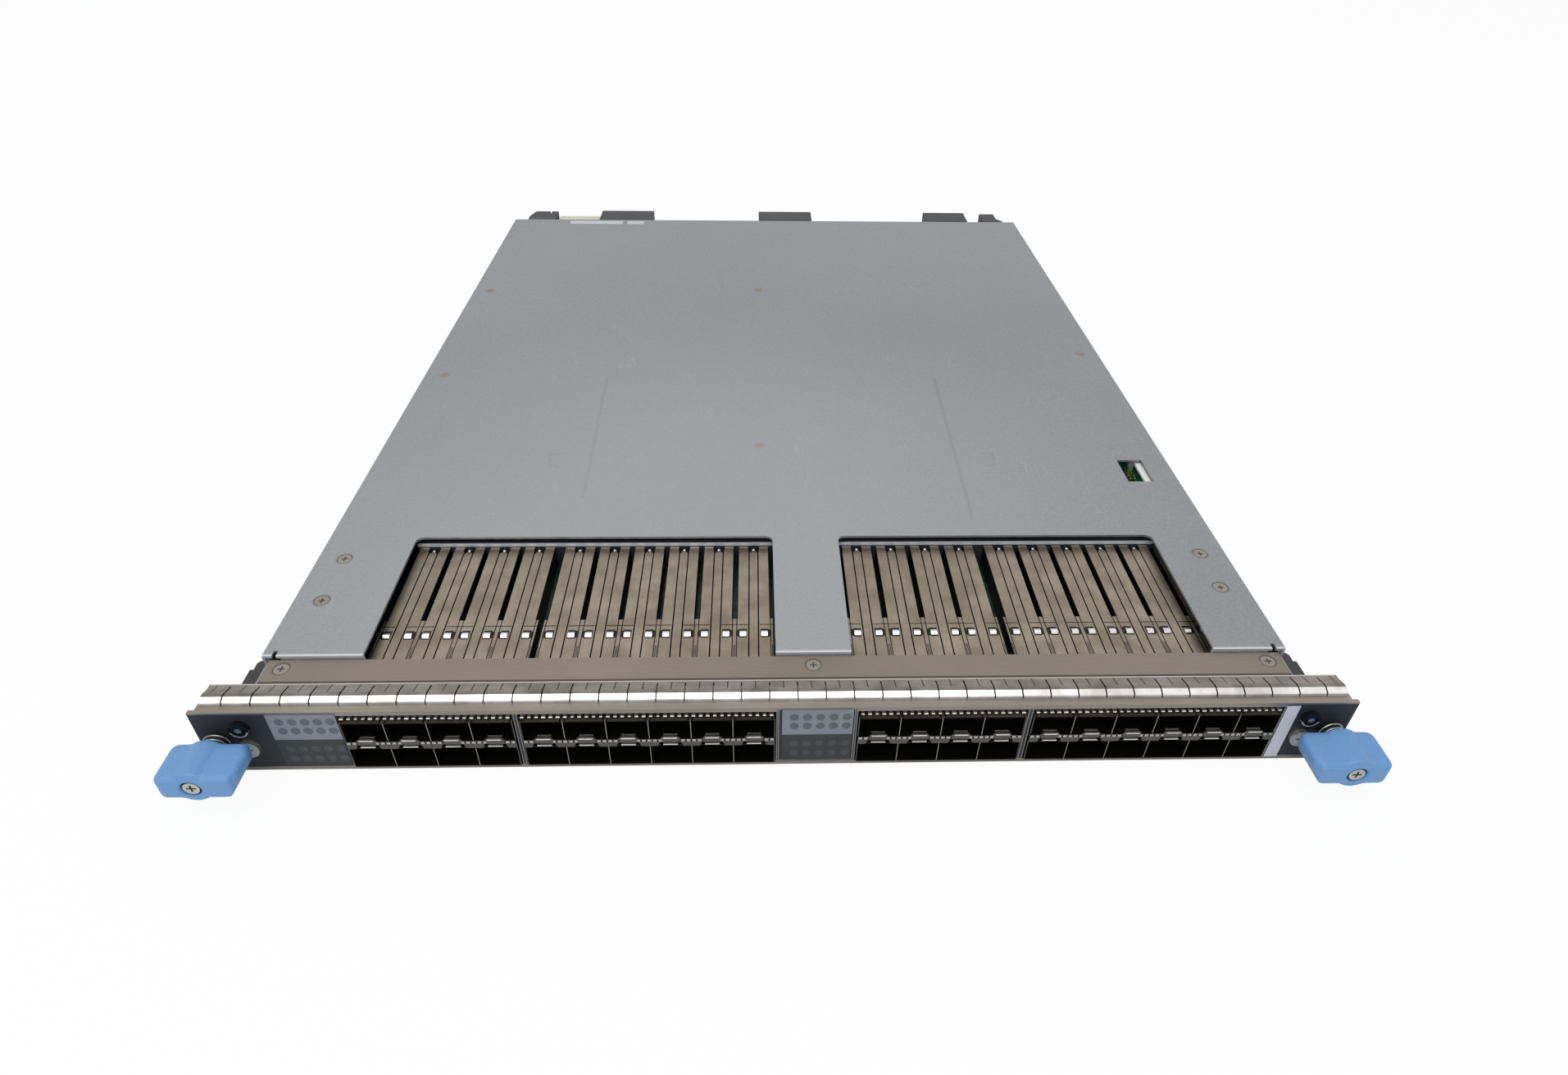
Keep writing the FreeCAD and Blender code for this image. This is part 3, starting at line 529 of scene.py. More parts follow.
def zinc_finish(name, pale, dark, marks=None):
    zinc = Finish(name, 0.72, 0.46)
    grain = zinc.grain(1300.0, (1.0, 0.5, 1.0))
    hairs = zinc.effect(SCRATCHES, {"Stretch": (1.0, 0.12, 1.0), "Fineness": 150.0,
                                    "Width": 0.008}, "Scratches")
    zinc.colour = zinc.mix(zinc.cloud(5.0, 1.6), dark, pale)
    zinc.tint(zinc.cloud(1100.0, 3.2), 0.44, srgb(118, 120, 126))
    zinc.tint(hairs, 0.16, srgb(190, 191, 194))
    if marks:
        marks(zinc)
    return zinc.close(grain, 0.40, 0.54).bump(grain, 0.00002, 0.35).material


ZINC_COVER = zinc_finish("zinc_cover", srgb(150, 152, 155), srgb(140, 142, 145), cover_marks)
ZINC_TRAY = zinc_finish("zinc_tray", srgb(152, 153, 156), srgb(140, 141, 145))
print("finishes:", ZINC_COVER.name, ZINC_TRAY.name)

# %% [markdown]
# ** The stiffening bar** lies across the board just behind the cages and is seen through the
# cover's windows. The whole bar is painted far paler than the zinc, as light on its top, and its
# front foot and everything under the cover's edge are painted dark as shade. Lamps alone would
# leave that edge soft, so the shade is part of the finish.

# %% Bar finish
BAR_FOOT = (90, 94.6)
BAR_FOOT_TOP = 23.9
BAR_SHADE = 94.8


def bar_finish():
    bar = Finish("zinc_bar", 0.35, 0.5)
    grain = bar.grain(900.0, (0.3, 1.0, 1.0))
    # Painted light: the bar's colour is far paler than the zinc; foot and rear then get painted
    # shade.
    bar.colour = bar.mix(grain, srgb(232, 236, 244), srgb(206, 210, 218))
    foot = bar.both(bar.behind(*BAR_FOOT), bar.under(bar.axis(2), BAR_FOOT_TOP))
    bar.tint(bar.either(foot, bar.beyond(BAR_SHADE)), 0.94, srgb(22, 23, 25))
    return bar.close(grain, 0.34, 0.5).material


ZINC_BAR = bar_finish()
print("finish:", ZINC_BAR.name)

# %% [markdown]
# ## Nickel: springs, screws, posts and the strip
#
# Nickel over steel or bronze looks warmer and darker than zinc. Wire, screws, posts and latch
# springs differ only in colour, grain and polish, so one function with those as its arguments
# makes them all from a table, the gilt pins and the sinks' bare aluminium too. The strip behind
# the panel has marks of its own and gets its own.

# %% Nickel finishes
EVEN = (1.0, 1.0, 1.0)


def nickel_finish(name, pale, dark, polish, fineness, share=0.5, stretch=EVEN, metallic=0.85):
    nickel = Finish(name, metallic, polish)
    grain = nickel.grain(fineness, stretch)
    dark = srgb(*dark)
    nickel.colour = nickel.mix(nickel.cloud(30.0, 2.4), srgb(*pale), dark)
    nickel.tint(grain, share, darker(dark, 0.55))
    nickel.close(grain, polish - 0.06, polish + 0.10).bump(grain, 0.00003, 0.4)
    return nickel.material


NICKEL = {name: nickel_finish(name, *values) for name, values in {
    "latch_spring": ((246, 244, 240), (222, 219, 212), 0.2, 700.0, 0.2),
    "window_tab": ((238, 235, 234), (206, 201, 199), 0.2, 700.0, 0.25),
    "spring_wire": ((205, 203, 198), (160, 157, 150), 0.22, 500.0),
    "turned_post": ((176, 172, 164), (150, 146, 138), 0.3, 400.0, 0.5, (1.0, 1.0, 6.0)),
    "bright_screw": ((216, 214, 210), (184, 181, 176), 0.24, 800.0),
    "flush_screw": ((162, 156, 148), (142, 136, 128), 0.3, 800.0, 0.3),
    "gold_pin": ((255, 226, 140), (240, 205, 116), 0.25, 900.0, 0.3, EVEN, 0.95),
    "sink_aluminium": ((190, 190, 190), (170, 170, 170), 0.4, 600.0, 0.5, (0.1, 1.0, 1.0)),
}.items()}
STRIP_SCREWS = ((-174.0, 21.5), (10.9, 21.5), (174.0, 21.5))


def strip_finish():
    """Dull nickel with a shadow line along its front edge and round each screw."""
    strip = Finish("strip_nickel", 0.8, 0.42)
    grain = strip.grain(1100.0, (0.12, 1.0, 1.0))
    strip.colour = strip.mix(strip.cloud(14.0, 2.0), srgb(147, 136, 125), srgb(130, 121, 111))
    strip.tint(grain, 0.32, srgb(104, 95, 87))
    strip.tint(spots_on(strip, STRIP_SCREWS, 27.4, 2.8, "Rim"), 0.6, srgb(74, 68, 62))
    strip.tint(strip.behind(13.0, 15.4), 0.75, srgb(52, 46, 44))
    return strip.close(grain, 0.36, 0.52).bump(grain, 0.00003, 0.4).material


STRIP = strip_finish()
print("nickel:", STRIP.name, *NICKEL)

# %% [markdown]
# **How far from a fold?** The marks of the cages, of the latch bands and of the finger stock all
# repeat at a fixed pitch. One group says how far a point lies from the nearest fold, and how far
# from the middle between two, and every mark is a range of those two distances. Modelling the
# marks as cuts would take thousands of faces for lines a hair wide.

# %% Distance to the nearest fold, as a group
def make_fold_distance():
    group, given = new_group("fold_distance", {"Start": 0.0, "Pitch": PITCH * MM},
                             ["From Fold", "From Middle"])
    axes = add(group, "ShaderNodeSeparateXYZ", {0: given["Place"]})
    along = maths(group, "SUBTRACT", axes.outputs[0], given["Start"])
    turn = maths(group, "FRACT", maths(group, "DIVIDE", along, given["Pitch"]))
    middle = maths(group, "ABSOLUTE", maths(group, "SUBTRACT", turn, 0.5))
    fold = maths(group, "SUBTRACT", 0.5, middle)
    add(group, "NodeGroupOutput", {
        "From Fold": maths(group, "MULTIPLY", fold, given["Pitch"]),
        "From Middle": maths(group, "MULTIPLY", middle, given["Pitch"])})
    return group


FOLD = make_fold_distance()


def repeats(finish, start, output, pitch=PITCH):
    """A distance from the pattern that begins at start and repeats at the pitch."""
    return finish.effect(FOLD, {"Start": start * MM, "Pitch": pitch * MM}, output)


print("group:", FOLD.name)

# %% [markdown]
# ** Cages** are folded from thin nickel sheet. Whatever is inside a mouth, along its front rim and
# under the cages behind the sleeves is painted nearly black as shade. The top shows the folds
# between neighbours as a pair of fine lines with small lock slots. Behind the sleeve come a window
# on each side of a leaf, rounded towards the fold, then a cross joint, and a dark notch at the
# leaf's tail. The windows, the round gaps and the notches are openings, painted near black as the
# shade in them. Marks are 0.96 black, not quite full, since a gap still returns a little light.

# %% Cage finish
CAGE_TOP = 23.6
GAP_CENTRE, GAP_RADIUS = (2.0, 41.6), 2.0


def cage_finish(name, start):
    cage = Finish(name, 0.82, 0.34)
    tree = cage.tree
    fold = repeats(cage, start, "From Fold")
    middle = repeats(cage, start, "From Middle")
    grain = cage.grain(1300.0, (1.0, 0.08, 1.0))
    cage.colour = cage.mix(cage.cloud(90.0, 3.4), srgb(168, 157, 141), srgb(136, 126, 111))
    cage.tint(cage.cloud(16.0, 2.4), 0.4, srgb(114, 103, 88))
    cage.tint(grain, 0.32, srgb(104, 94, 80))
    lines = cage.both(cage.between(fold, 0.62, 1.0), cage.behind(-1, 49.5))
    slots = cage.both(cage.between(fold, 0.14, 0.40), cage.behind(29.4, 35.4))
    window = cage.both(cage.between(fold, 1.7, 4.6), cage.behind(39.3, 43.9))
    aside = maths(tree, "SUBTRACT", fold, GAP_CENTRE[0] * MM)
    along = maths(tree, "SUBTRACT", cage.axis(1), deep(GAP_CENTRE[1]))
    apart = maths(tree, "SQRT", maths(tree, "ADD", maths(tree, "MULTIPLY", aside, aside),
                                      maths(tree, "MULTIPLY", along, along)))
    round_gap = cage.both(cage.under(apart, GAP_RADIUS), cage.over(fold, 0.55))
    joint = cage.both(cage.over(middle, 2.2), cage.behind(46.0, 46.45))
    notch = cage.both(cage.under(middle, 2.3), cage.behind(91.0, 94.0))
    # Windows, round gaps and notches are openings painted near black as shade; the lines, slots
    # and joint are seams.
    marks = cage.either(lines, slots, window, round_gap, joint, notch)
    cage.tint(cage.both(cage.over(cage.axis(2), CAGE_TOP), marks), 0.96, srgb(20, 18, 16))
    # Painted shade: inside the mouths, on the front rim and under the cages behind the sleeves.
    mouth = cage.both(cage.behind(-0.52, 49.0), cage.under(cage.axis(2), 23.5))
    rim = cage.both(cage.behind(-1, -0.5), cage.over(fold, 0.1))
    gap = cage.both(cage.behind(49.4, 95), cage.under(cage.axis(2), 23.2))
    cage.tint(cage.either(mouth, rim, gap), 0.95, srgb(16, 15, 15))
    return cage.close(grain, 0.26, 0.44).bump(grain, 0.00003, 0.4).material


CAGE_STARTS = {str(number + 1): start for number, (start, count) in enumerate(GROUPS)}
CAGE_FINISHES = {number: cage_finish("cage_nickel_" + number, start)
                 for number, start in CAGE_STARTS.items()}
print("cage finishes:", len(CAGE_FINISHES))

# %% [markdown]
# ** Dividers** are the thin walls between ports. Inside the mouths they are painted dark as shade,
# and only their cut front edge keeps the nickel's colour, as a hairline on the fold. A brighter
# wall would close the ports up.

# %% Divider finish
def divider_finish():
    wall = Finish("port_divider", 0.8, 0.3)
    grain = wall.grain(1500.0)
    hairs = [wall.both(wall.across(start - 1, start + count * PITCH + 1),
                       wall.under(repeats(wall, start, "From Fold"), 0.1))
             for start, count in GROUPS]
    edge = wall.both(wall.behind(-1, -0.5), wall.either(*hairs))
    # Painted shade: the walls are dark as inside the mouths; only the front edge shows the nickel.
    wall.colour = wall.mix(edge, srgb(20, 19, 18), srgb(172, 167, 158))
    wall.tint(grain, 0.25, srgb(40, 38, 35))
    return wall.close(grain, 0.26, 0.42).material


DIVIDER = divider_finish()
print("finish:", DIVIDER.name)

# %% [markdown]
# ** The latch band** between the rows is a strip of spring sheet: a grey tongue at each port and a
# row of short contact fingers between the tongues. **The finger stock** on the panel is painted
# bright on its front slope, as a reflection of the light above, and brown on its back, as a
# reflection of the card it looks at. Only a hint of that comes from the plating itself.

# %% Latch band and finger stock
CONTACT_PITCH = 1.9
STOCK_START, STOCK_PITCH = -185.8, 9.53


def band_finish(name, start):
    band = Finish(name, 0.85, 0.3)
    grain = band.grain(1200.0)
    dash = repeats(band, start, "From Fold", CONTACT_PITCH)
    comb = band.both(band.over(repeats(band, start, "From Middle"), 3.0), band.level(13.6, 14.6))
    band.colour = band.mix(grain, srgb(104, 101, 97), srgb(78, 75, 72))
    band.tint(band.both(comb, band.under(dash, 0.35)), 0.8, srgb(30, 29, 28))
    band.tint(band.both(comb, band.over(dash, 0.35)), 0.85, srgb(196, 193, 187))
    band.tint(band.level(15.9, 17.0), 0.85, srgb(30, 29, 29))
    return band.close(grain, 0.22, 0.40).material


def finger_finish():
    stock = Finish("finger_stock", 0.95, 0.2)
    grain = stock.grain(800.0, (0.15, 1.0, 1.0))
    cloud = stock.cloud(120.0, 3.5)
    bright = stock.mix(cloud, srgb(250, 248, 248), srgb(214, 210, 206))
    bright = stock.tinted(bright, grain, 0.22, srgb(128, 122, 118))
    back_reflection = stock.mix(cloud, srgb(146, 139, 132), srgb(116, 110, 104))
    back_reflection = stock.tinted(back_reflection, grain, 0.35, srgb(88, 82, 76))
    # Painted reflections: the front slope bright with the light above, the back slope brown with
    # the card behind.
    past_crest = ramp_of(stock.tree, stock.axis(1), deep(5.1), deep(5.5))
    stock.colour = stock.mix(past_crest, bright, back_reflection)
    stock.tint(stock.behind(2.0, 3.25), 0.6, srgb(70, 64, 60))
    stock.tint(stock.behind(12.1, 13.0), 0.8, srgb(196, 190, 184))
    slit = stock.under(repeats(stock, STOCK_START, "From Middle", STOCK_PITCH), 0.22)
    stock.tint(stock.both(slit, stock.behind(7.2, 12.0)), 0.85, srgb(30, 27, 24))
    return stock.close(grain, 0.14, 0.30).bump(grain, 0.00004, 0.5).material


BAND_FINISHES = {number: band_finish("latch_band_" + number, start)
                 for number, start in CAGE_STARTS.items()}
FINGERS = finger_finish()
print("bands:", len(BAND_FINISHES), "and", FINGERS.name)

# %% [markdown]
# ## The panel: bare plating with a dark face
#
# The panel's folds are plated like the strip, and only its face carries a dark navy film that
# stops short of the top and bottom edges. One material does both: a mask made from the surface's
# own height and depth chooses between the two. Splitting the piece would leave a seam that the
# real one doesn't have.

# %% Panel finish
BARE_EDGES = ((-147.8, -3.0), (25.4, 170.4))


def outline_of(finish, west, east, low, high, wide=0.3):
    """A mask for the outline of a rectangle on the panel's face, all in millimetres."""
    outer = finish.both(finish.across(west - wide, east + wide),
                        finish.level(low - wide, high + wide))
    inner = finish.both(finish.across(west, east), finish.level(low, high))
    return maths(finish.tree, "SUBTRACT", outer, inner)


def panel_finish():
    panel = Finish("panel_sheet", 0.8, 0.4)
    speckle = panel.cloud(1500.0, 3.0)
    cloud = panel.cloud(18.0, 2.0)
    plated = panel.mix(cloud, srgb(160, 151, 141), srgb(140, 131, 121))
    plated = panel.tinted(plated, panel.grain(1200.0, (0.2, 1.0, 1.0)), 0.3, srgb(84, 76, 68))
    navy = panel.mix(cloud, srgb(19, 23, 32), srgb(24, 28, 37))
    navy = panel.tinted(navy, speckle, 0.4, srgb(15, 17, 24))
    face = panel.behind(-1, 0.05)
    bare = panel.either(*[panel.both(panel.across(west - 0.9, east + 0.9),
                                     panel.level(27.0, 30.0)) for west, east in BARE_EDGES])
    film = panel.both(face, panel.level(1.7, 28.1), inverse(panel.tree, bare))
    lines = [outline_of(panel, start - 0.5, start + count * PITCH + 0.5, 1.0, 27.0)
             for start, count in GROUPS]
    lines.append(outline_of(panel, -1.6, 23.9, 2.4, 28.0))
    panel.colour = panel.mix(film, plated, navy)
    panel.tint(panel.both(face, panel.either(*lines)), 0.75, srgb(142, 141, 144))
    panel.send(maths(panel.tree, "MULTIPLY_ADD", film, -0.8, 0.8), "Metallic")
    return panel.close(film, 0.38, 0.55).bump(speckle, 0.00002, 0.3).material


PANEL = panel_finish()
print("panel:", PANEL.name)

# %% [markdown]
# ## Plastics, board and castings
#
# Moulded plastic takes its look from a fine even texture off the mould and a soft sheen, so the
# plastics come from one function and a table. The black castings and screws are matt with a
# little brightness where the coat is thin.

# %% Plastics and black coat
def plastic_finish(name, pale, dark, polish, fineness=1800.0, depth=0.00003):
    plastic = Finish(name, 0.0, polish)
    grain = plastic.grain(fineness)
    dark = srgb(*dark)
    plastic.colour = plastic.mix(plastic.cloud(40.0, 1.8), srgb(*pale), dark)
    plastic.tint(grain, 0.3, darker(dark, 0.72))
    return plastic.close(grain, polish - 0.05, polish + 0.08).bump(grain, depth, 0.5).material


PLASTIC = {name: plastic_finish(name, *values) for name, values in {
    "connector_black": ((40, 40, 41), (30, 30, 31), 0.5),
    "connector_grey": ((60, 60, 64), (48, 48, 53), 0.6),
    "connector_cream": ((222, 219, 196), (206, 202, 176), 0.5),
    "pale_housing": ((246, 253, 246), (234, 243, 236), 0.4),
    "white_housing": ((246, 247, 242), (236, 238, 230), 0.4),
    "indicator_film": ((126, 131, 140), (116, 121, 130), 0.36),
    "lower_film": ((36, 39, 43), (30, 33, 37), 0.40),
    "indicator_window": ((86, 92, 98), (78, 84, 90), 0.25),
    "unlit_window": ((58, 61, 66), (50, 53, 58), 0.25),
    "bare_label": ((206, 207, 214), (190, 191, 200), 0.45),
    "chip_lid": ((60, 60, 62), (46, 46, 48), 0.4),
    "black_coat": ((42, 42, 45), (30, 30, 33), 0.42, 900.0, 0.00006),
}.items()}
print("plastics:", *PLASTIC)

# %% [markdown]
# The **board's** green shows only in gaps, with paler copper areas under the solder mask, and a
# brighter green is painted on it as light where the hatch lies open above it. The **handles** are
# blue mouldings, speckled by the mould's spark texture, with their hubs painted dark as the
# springs' shade. The **black screws** have a painted highlight along the low side of the rim and a
# painted glint in the recess.

# %% Board, handles and black screws
HATCH_ACROSS, HATCH_DEPTHS = (150, 200), (124, 190)
HUB_FRONT = -4.3
BLACK_HEADS = ((-180.7, -1.8), (180.7, -1.8))
BLACK_LEVEL = 21.9


def board_finish():
    board = Finish("solder_mask", 0.0, 0.35)
    cells = add(board.tree, "ShaderNodeTexVoronoi", {"Vector": board.place, "Scale": 260.0},
                distance="CHEBYCHEV")
    pads = ramp_of(board.tree, cells.outputs["Distance"], 0.28, 0.34)
    board.colour = board.mix(board.cloud(60.0, 3.0), srgb(16, 42, 34), srgb(10, 28, 24))
    board.tint(pads, 0.3, srgb(34, 74, 54))
    # Painted light: the board is a much brighter green where the hatch lets light in.
    hatch = board.both(board.across(*HATCH_ACROSS), board.behind(*HATCH_DEPTHS))
    hatch_light = board.mix(pads, srgb(96, 214, 150), srgb(126, 232, 172))
    board.colour = board.mix(hatch, board.colour, hatch_light)
    return board.close(pads, 0.30, 0.42).bump(pads, 0.00005, 0.4).material


def handle_finish():
    blue = Finish("handle_blue", 0.0, 0.42)
    grain = blue.grain(1400.0)
    speckle = blue.cloud(2200.0, 3.4)
    blue.colour = blue.mix(grain, srgb(108, 155, 204), srgb(97, 145, 194))
    blue.tint(speckle, 0.30, srgb(78, 124, 172))
    # Painted shade: the hubs, inside the springs, are darkened.
    blue.tint(blue.beyond(HUB_FRONT), 0.85, srgb(22, 28, 38))
    return blue.close(grain, 0.38, 0.50).bump(speckle, 0.00003, 0.45).material


def black_screw_finish():
    screw = Finish("black_screw", 0.6, 0.22)
    grain = screw.grain(900.0)
    rims = spots_on(screw, BLACK_HEADS, BLACK_LEVEL, 3.0, "Rim")
    recesses = spots_on(screw, BLACK_HEADS, BLACK_LEVEL, 1.3, "Disc")
    screw.colour = screw.mix(grain, srgb(34, 35, 40), srgb(22, 23, 28))
    # Painted highlight along the low side of each rim, and a painted glint in each recess.
    rim_highlight = screw.both(rims, screw.level(17, 21.2))
    screw.colour = screw.mix(rim_highlight, screw.colour, srgb(244, 246, 252))
    screw.tint(recesses, 0.45, srgb(150, 154, 164))
    return screw.close(grain, 0.16, 0.30).material


BOARD = board_finish()
HANDLE_BLUE = handle_finish()
BLACK_SCREW = black_screw_finish()
print("ready:", BOARD.name, HANDLE_BLUE.name, BLACK_SCREW.name)

# %% [markdown]
# ## Dressing the CAD pieces
#
# Most CAD pieces already have the right shape, so they keep it and only change their finish. A
# table of material to node names is easier to read and to change than one line for each piece.

# %% Finishes onto nodes
DRESS = {
    ZINC_COVER: ["top_cover"],
    ZINC_TRAY: ["tray"],
    ZINC_BAR: ["stiffener_bar"],
    STRIP: ["front_strip"],
    PANEL: ["front_panel"],
    FINGERS: ["emi_gasket"],
    DIVIDER: ["upper_cage_dividers", "lower_cage_dividers"],
    NICKEL["turned_post"]: ["cover_posts", "screw_posts", "strip_posts", "board_standoffs"],
    NICKEL["flush_screw"]: ["cover_screws", "strip_screws"],
    NICKEL["bright_screw"]: ["bright_panel_screws", "captive_screw_left", "captive_screw_right"],
    NICKEL["sink_aluminium"]: ["heat_sink_left", "heat_sink_right"],
    NICKEL["spring_wire"]: ["spring_left", "spring_right", "retaining_clip_left",
                            "retaining_clip_right"],
    BLACK_SCREW: ["black_panel_screws"],
    BOARD: ["circuit_board"],
    HANDLE_BLUE: ["handle_left", "handle_right"],
    PLASTIC["black_coat"]: ["side_bracket_left", "side_bracket_right"],
    PLASTIC["connector_black"]: ["upper_port_connectors", "lower_port_connectors",
                                 "service_header"],
    PLASTIC["connector_grey"]: ["backplane_connector_left", "backplane_connector_middle",
                                "backplane_connector_right", "guide_block_left",
                                "guide_block_right"],
    PLASTIC["connector_cream"]: ["power_connector"],
    PLASTIC["indicator_film"]: ["indicator_plate_left", "indicator_plate_middle"],
    PLASTIC["chip_lid"]: ["forwarding_chips"],
}
for number in CAGE_STARTS:
    DRESS[CAGE_FINISHES[number]] = ["upper_cage_" + number, "lower_cage_" + number]
    DRESS[BAND_FINISHES[number]] = ["latch_band_" + number]
for material, nodes in DRESS.items():
    for node in nodes:
        for material_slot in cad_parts[node].material_slots:
            material_slot.material = material
undressed = set(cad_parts) - {node for nodes in DRESS.values() for node in nodes}
print("nodes dressed:", sum(len(nodes) for nodes in DRESS.values()), "left bare:", undressed)

# %% [markdown]
# ## Pieces made in code
#
# Small added pieces are built as plain meshes straight in the frame's coordinates, so that their
# objects can stay at the origin. One helper links a mesh, gives it its finish and the body that it
# rides on. Most of these pieces are bevelled blocks, so the others build meshes from blocks, in
# millimetres round a spot that is given later, or in place on the card.

# %% Mesh helpers
def piece_from(name, mesh, material, body, slot):
    """A finished object from a mesh that is already in place."""
    mesh.materials.clear()
    mesh.materials.append(material)
    made = bpy.data.objects.new(name, mesh)
    bpy.context.collection.objects.link(made)
    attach(made, body)
    return made


def block(shape, low, high, bevel):
    """A block between two corners of the frame, with its edges taken off."""
    corner = bmesh.ops.create_cube(shape, size=1.0)["verts"]
    bmesh.ops.scale(shape, vec=high - low, verts=corner)
    bmesh.ops.translate(shape, vec=(low + high) / 2, verts=corner)
    if bevel:
        edges = list({edge for vert in corner for edge in vert.link_edges})
        bmesh.ops.bevel(shape, geom=edges, offset=bevel, segments=2, affect="EDGES", profile=0.6)


def mesh_of(name, shape):
    mesh = bpy.data.meshes.new(name)
    shape.to_mesh(mesh)
    shape.free()
    return mesh


def part_of(name, *blocks):
    """A mesh of blocks round a spot: two corners and a bevel each, in millimetres."""
    shape = bmesh.new()
    for low, high, bevel in blocks:
        block(shape, Vector(low) * MM, Vector(high) * MM, bevel * MM)
    return mesh_of(name, shape)


def placed(name, material, slot, *blocks):
    """A piece of the card made of blocks that are given as they lie in the frame."""
    shape = bmesh.new()
    for low, high, bevel in blocks:
        block(shape, low, high, bevel * MM)
    return piece_from(name, mesh_of(name, shape), material, "card", slot)


def smooth(mesh):
    for polygon in mesh.polygons:
        polygon.use_smooth = True


print("helpers:", piece_from.__name__, part_of.__name__, placed.__name__)

# %% [markdown]
# ## One tree for everything that repeats
#
# Latches, printed windows and screw recesses repeat at known spots. The tree takes a cloud of
# points as its own geometry, puts the given part on each, makes the copies real and sets their
# material. Copying objects in a loop would work as well, but the tree keeps one part to edit and
# one result to ride on the card.

# %% The repeating tree
def new_tree(name, inputs):
    """An empty geometry tree: the inputs, with their kinds, and the geometry in and out."""
    tree = bpy.data.node_groups.new(name, "GeometryNodeTree")
    face = tree.interface
    for label, kind in (("Geometry", "Geometry"), *inputs, ("Material", "Material")):
        face.new_socket(label, in_out="INPUT", socket_type="NodeSocket" + kind)
    face.new_socket("Geometry", in_out="OUTPUT", socket_type="NodeSocketGeometry")
    return tree, add(tree, "NodeGroupInput").outputs


def end_tree(tree, geometry, material):
    """Makes the geometry real, paints it and gives it out."""
    real = add(tree, "GeometryNodeRealizeInstances", {"Geometry": geometry})
    paint = add(tree, "GeometryNodeSetMaterial", {"Geometry": real.outputs["Geometry"],
                                                  "Material": material})
    add(tree, "NodeGroupOutput", {"Geometry": paint.outputs["Geometry"]})
    return tree


def make_repeat_tree():
    tree, given = new_tree("repeat_on_points", (
        ("Part", "Object"), ("Size Spread", "Float"), ("Seed", "Int")))
    part = add(tree, "GeometryNodeObjectInfo", {"Object": given["Part"]})
    smallest = maths(tree, "SUBTRACT", 1.0, given["Size Spread"])
    scale = add(tree, "FunctionNodeRandomValue", {2: smallest, 3: 1.0, "Seed": given["Seed"]},
                data_type="FLOAT")
    copies = add(tree, "GeometryNodeInstanceOnPoints", {
        "Points": given["Geometry"], "Instance": part.outputs["Geometry"],
        "Scale": scale.outputs[1]})
    return end_tree(tree, copies.outputs["Instances"], given["Material"])


REPEAT = make_repeat_tree()
print("tree:", REPEAT.name)

# %% [markdown]
# **Running the tree** gives a plain mesh: an object carries it as a modifier for a moment, and
# the mesh it makes is taken and the object dropped. Left on, the modifier would run again at
# every step of the work. The parts' sizes may vary a little, always in the same way, because
# the seed is fixed.

# %% Run a tree and keep its mesh
SEED = 7


def taken_from(carrier, name):
    """The mesh that an object's modifiers make; the object itself goes."""
    depsgraph = bpy.context.evaluated_depsgraph_get()
    mesh = bpy.data.meshes.new_from_object(carrier.evaluated_get(depsgraph))
    mesh.name = name
    bpy.data.objects.remove(carrier)
    return mesh


def run_tree(name, tree, start_mesh, inputs):
    """Runs a tree on a mesh and gives back what it makes as a plain mesh."""
    carrier = bpy.data.objects.new(name + "_carrier", start_mesh)
    bpy.context.collection.objects.link(carrier)
    modifier = carrier.modifiers.new("tree", "NODES")
    modifier.node_group = tree
    for item in tree.interface.items_tree:
        if item.in_out == "INPUT" and item.name in inputs:
            modifier[item.identifier] = inputs[item.name]
    return taken_from(carrier, name)


def repeat(name, part_mesh, points, material, slot="latch_steel", spread=0.0):
    """The part at every point, as one piece of the card."""
    cloud = bpy.data.meshes.new(name + "_points")
    cloud.from_pydata([tuple(point) for point in points], [], [])
    part = bpy.data.objects.new(name + "_part", part_mesh)
    bpy.context.collection.objects.link(part)
    mesh = run_tree(name, REPEAT, cloud, {"Part": part, "Size Spread": spread, "Seed": SEED,
                                          "Material": material})
    bpy.data.objects.remove(part)
    piece_from(name, mesh, material, "card", slot)
    print(name, len(points), "copies,", len(mesh.polygons), "faces")


print("helpers:", taken_from.__name__, run_tree.__name__, repeat.__name__)

# %% [markdown]
# ## Latches and fingers of the cages
#
# Each port has a spring latch: a tongue folded over at its tip, which shows as a bright bar in
# the mouth, one above the middle band and one below it. Over the upper row, short spring fingers
# press the cage against the panel. Further back each cage has two bright tabs beside its leaf,
# bent up out of the windows, so their side view is drawn and given a width.

# %% Latch bars, contact fingers and tabs
for name, low, high, level in (
        ("upper_latch_bars", (-2.4, -0.5, -0.22), (2.4, 1.6, 0.22), 15.7),
        ("lower_latch_bars", (-2.5, -0.4, -0.22), (2.5, 1.2, 0.22), 12.5)):
    repeat(name, part_of("latch_bar", (low, high, 0.1)),
           [at(x, -0.9, level) for x in PORT_CENTRES], NICKEL["latch_spring"])
FINGERS_PER_PORT = 6
MIDDLE_FINGER = (FINGERS_PER_PORT - 1) / 2
finger_spots = [at(x + (index - MIDDLE_FINGER) * PITCH / FINGERS_PER_PORT, -0.1, 25.6)
                for x in PORT_CENTRES for index in range(FINGERS_PER_PORT)]
repeat("panel_contact_fingers",
       part_of("contact_finger", ((-0.7, -0.3, -0.34), (0.7, 1.4, 0.34), 0.15)), finger_spots,
       NICKEL["latch_spring"], spread=0.3)
TAB_SIDE_VIEW = ((40.0, 0.02), (40.2, 0.3), (41.2, 0.75), (42.3, 0.5), (42.9, 0.02))
TAB_HALF_WIDTH, TAB_FROM_FOLD = 1.2, 3.15
shape = bmesh.new()
left_side, right_side = [[shape.verts.new(Vector((x, y, z)) * MM) for y, z in TAB_SIDE_VIEW]
                         for x in (-TAB_HALF_WIDTH, TAB_HALF_WIDTH)]
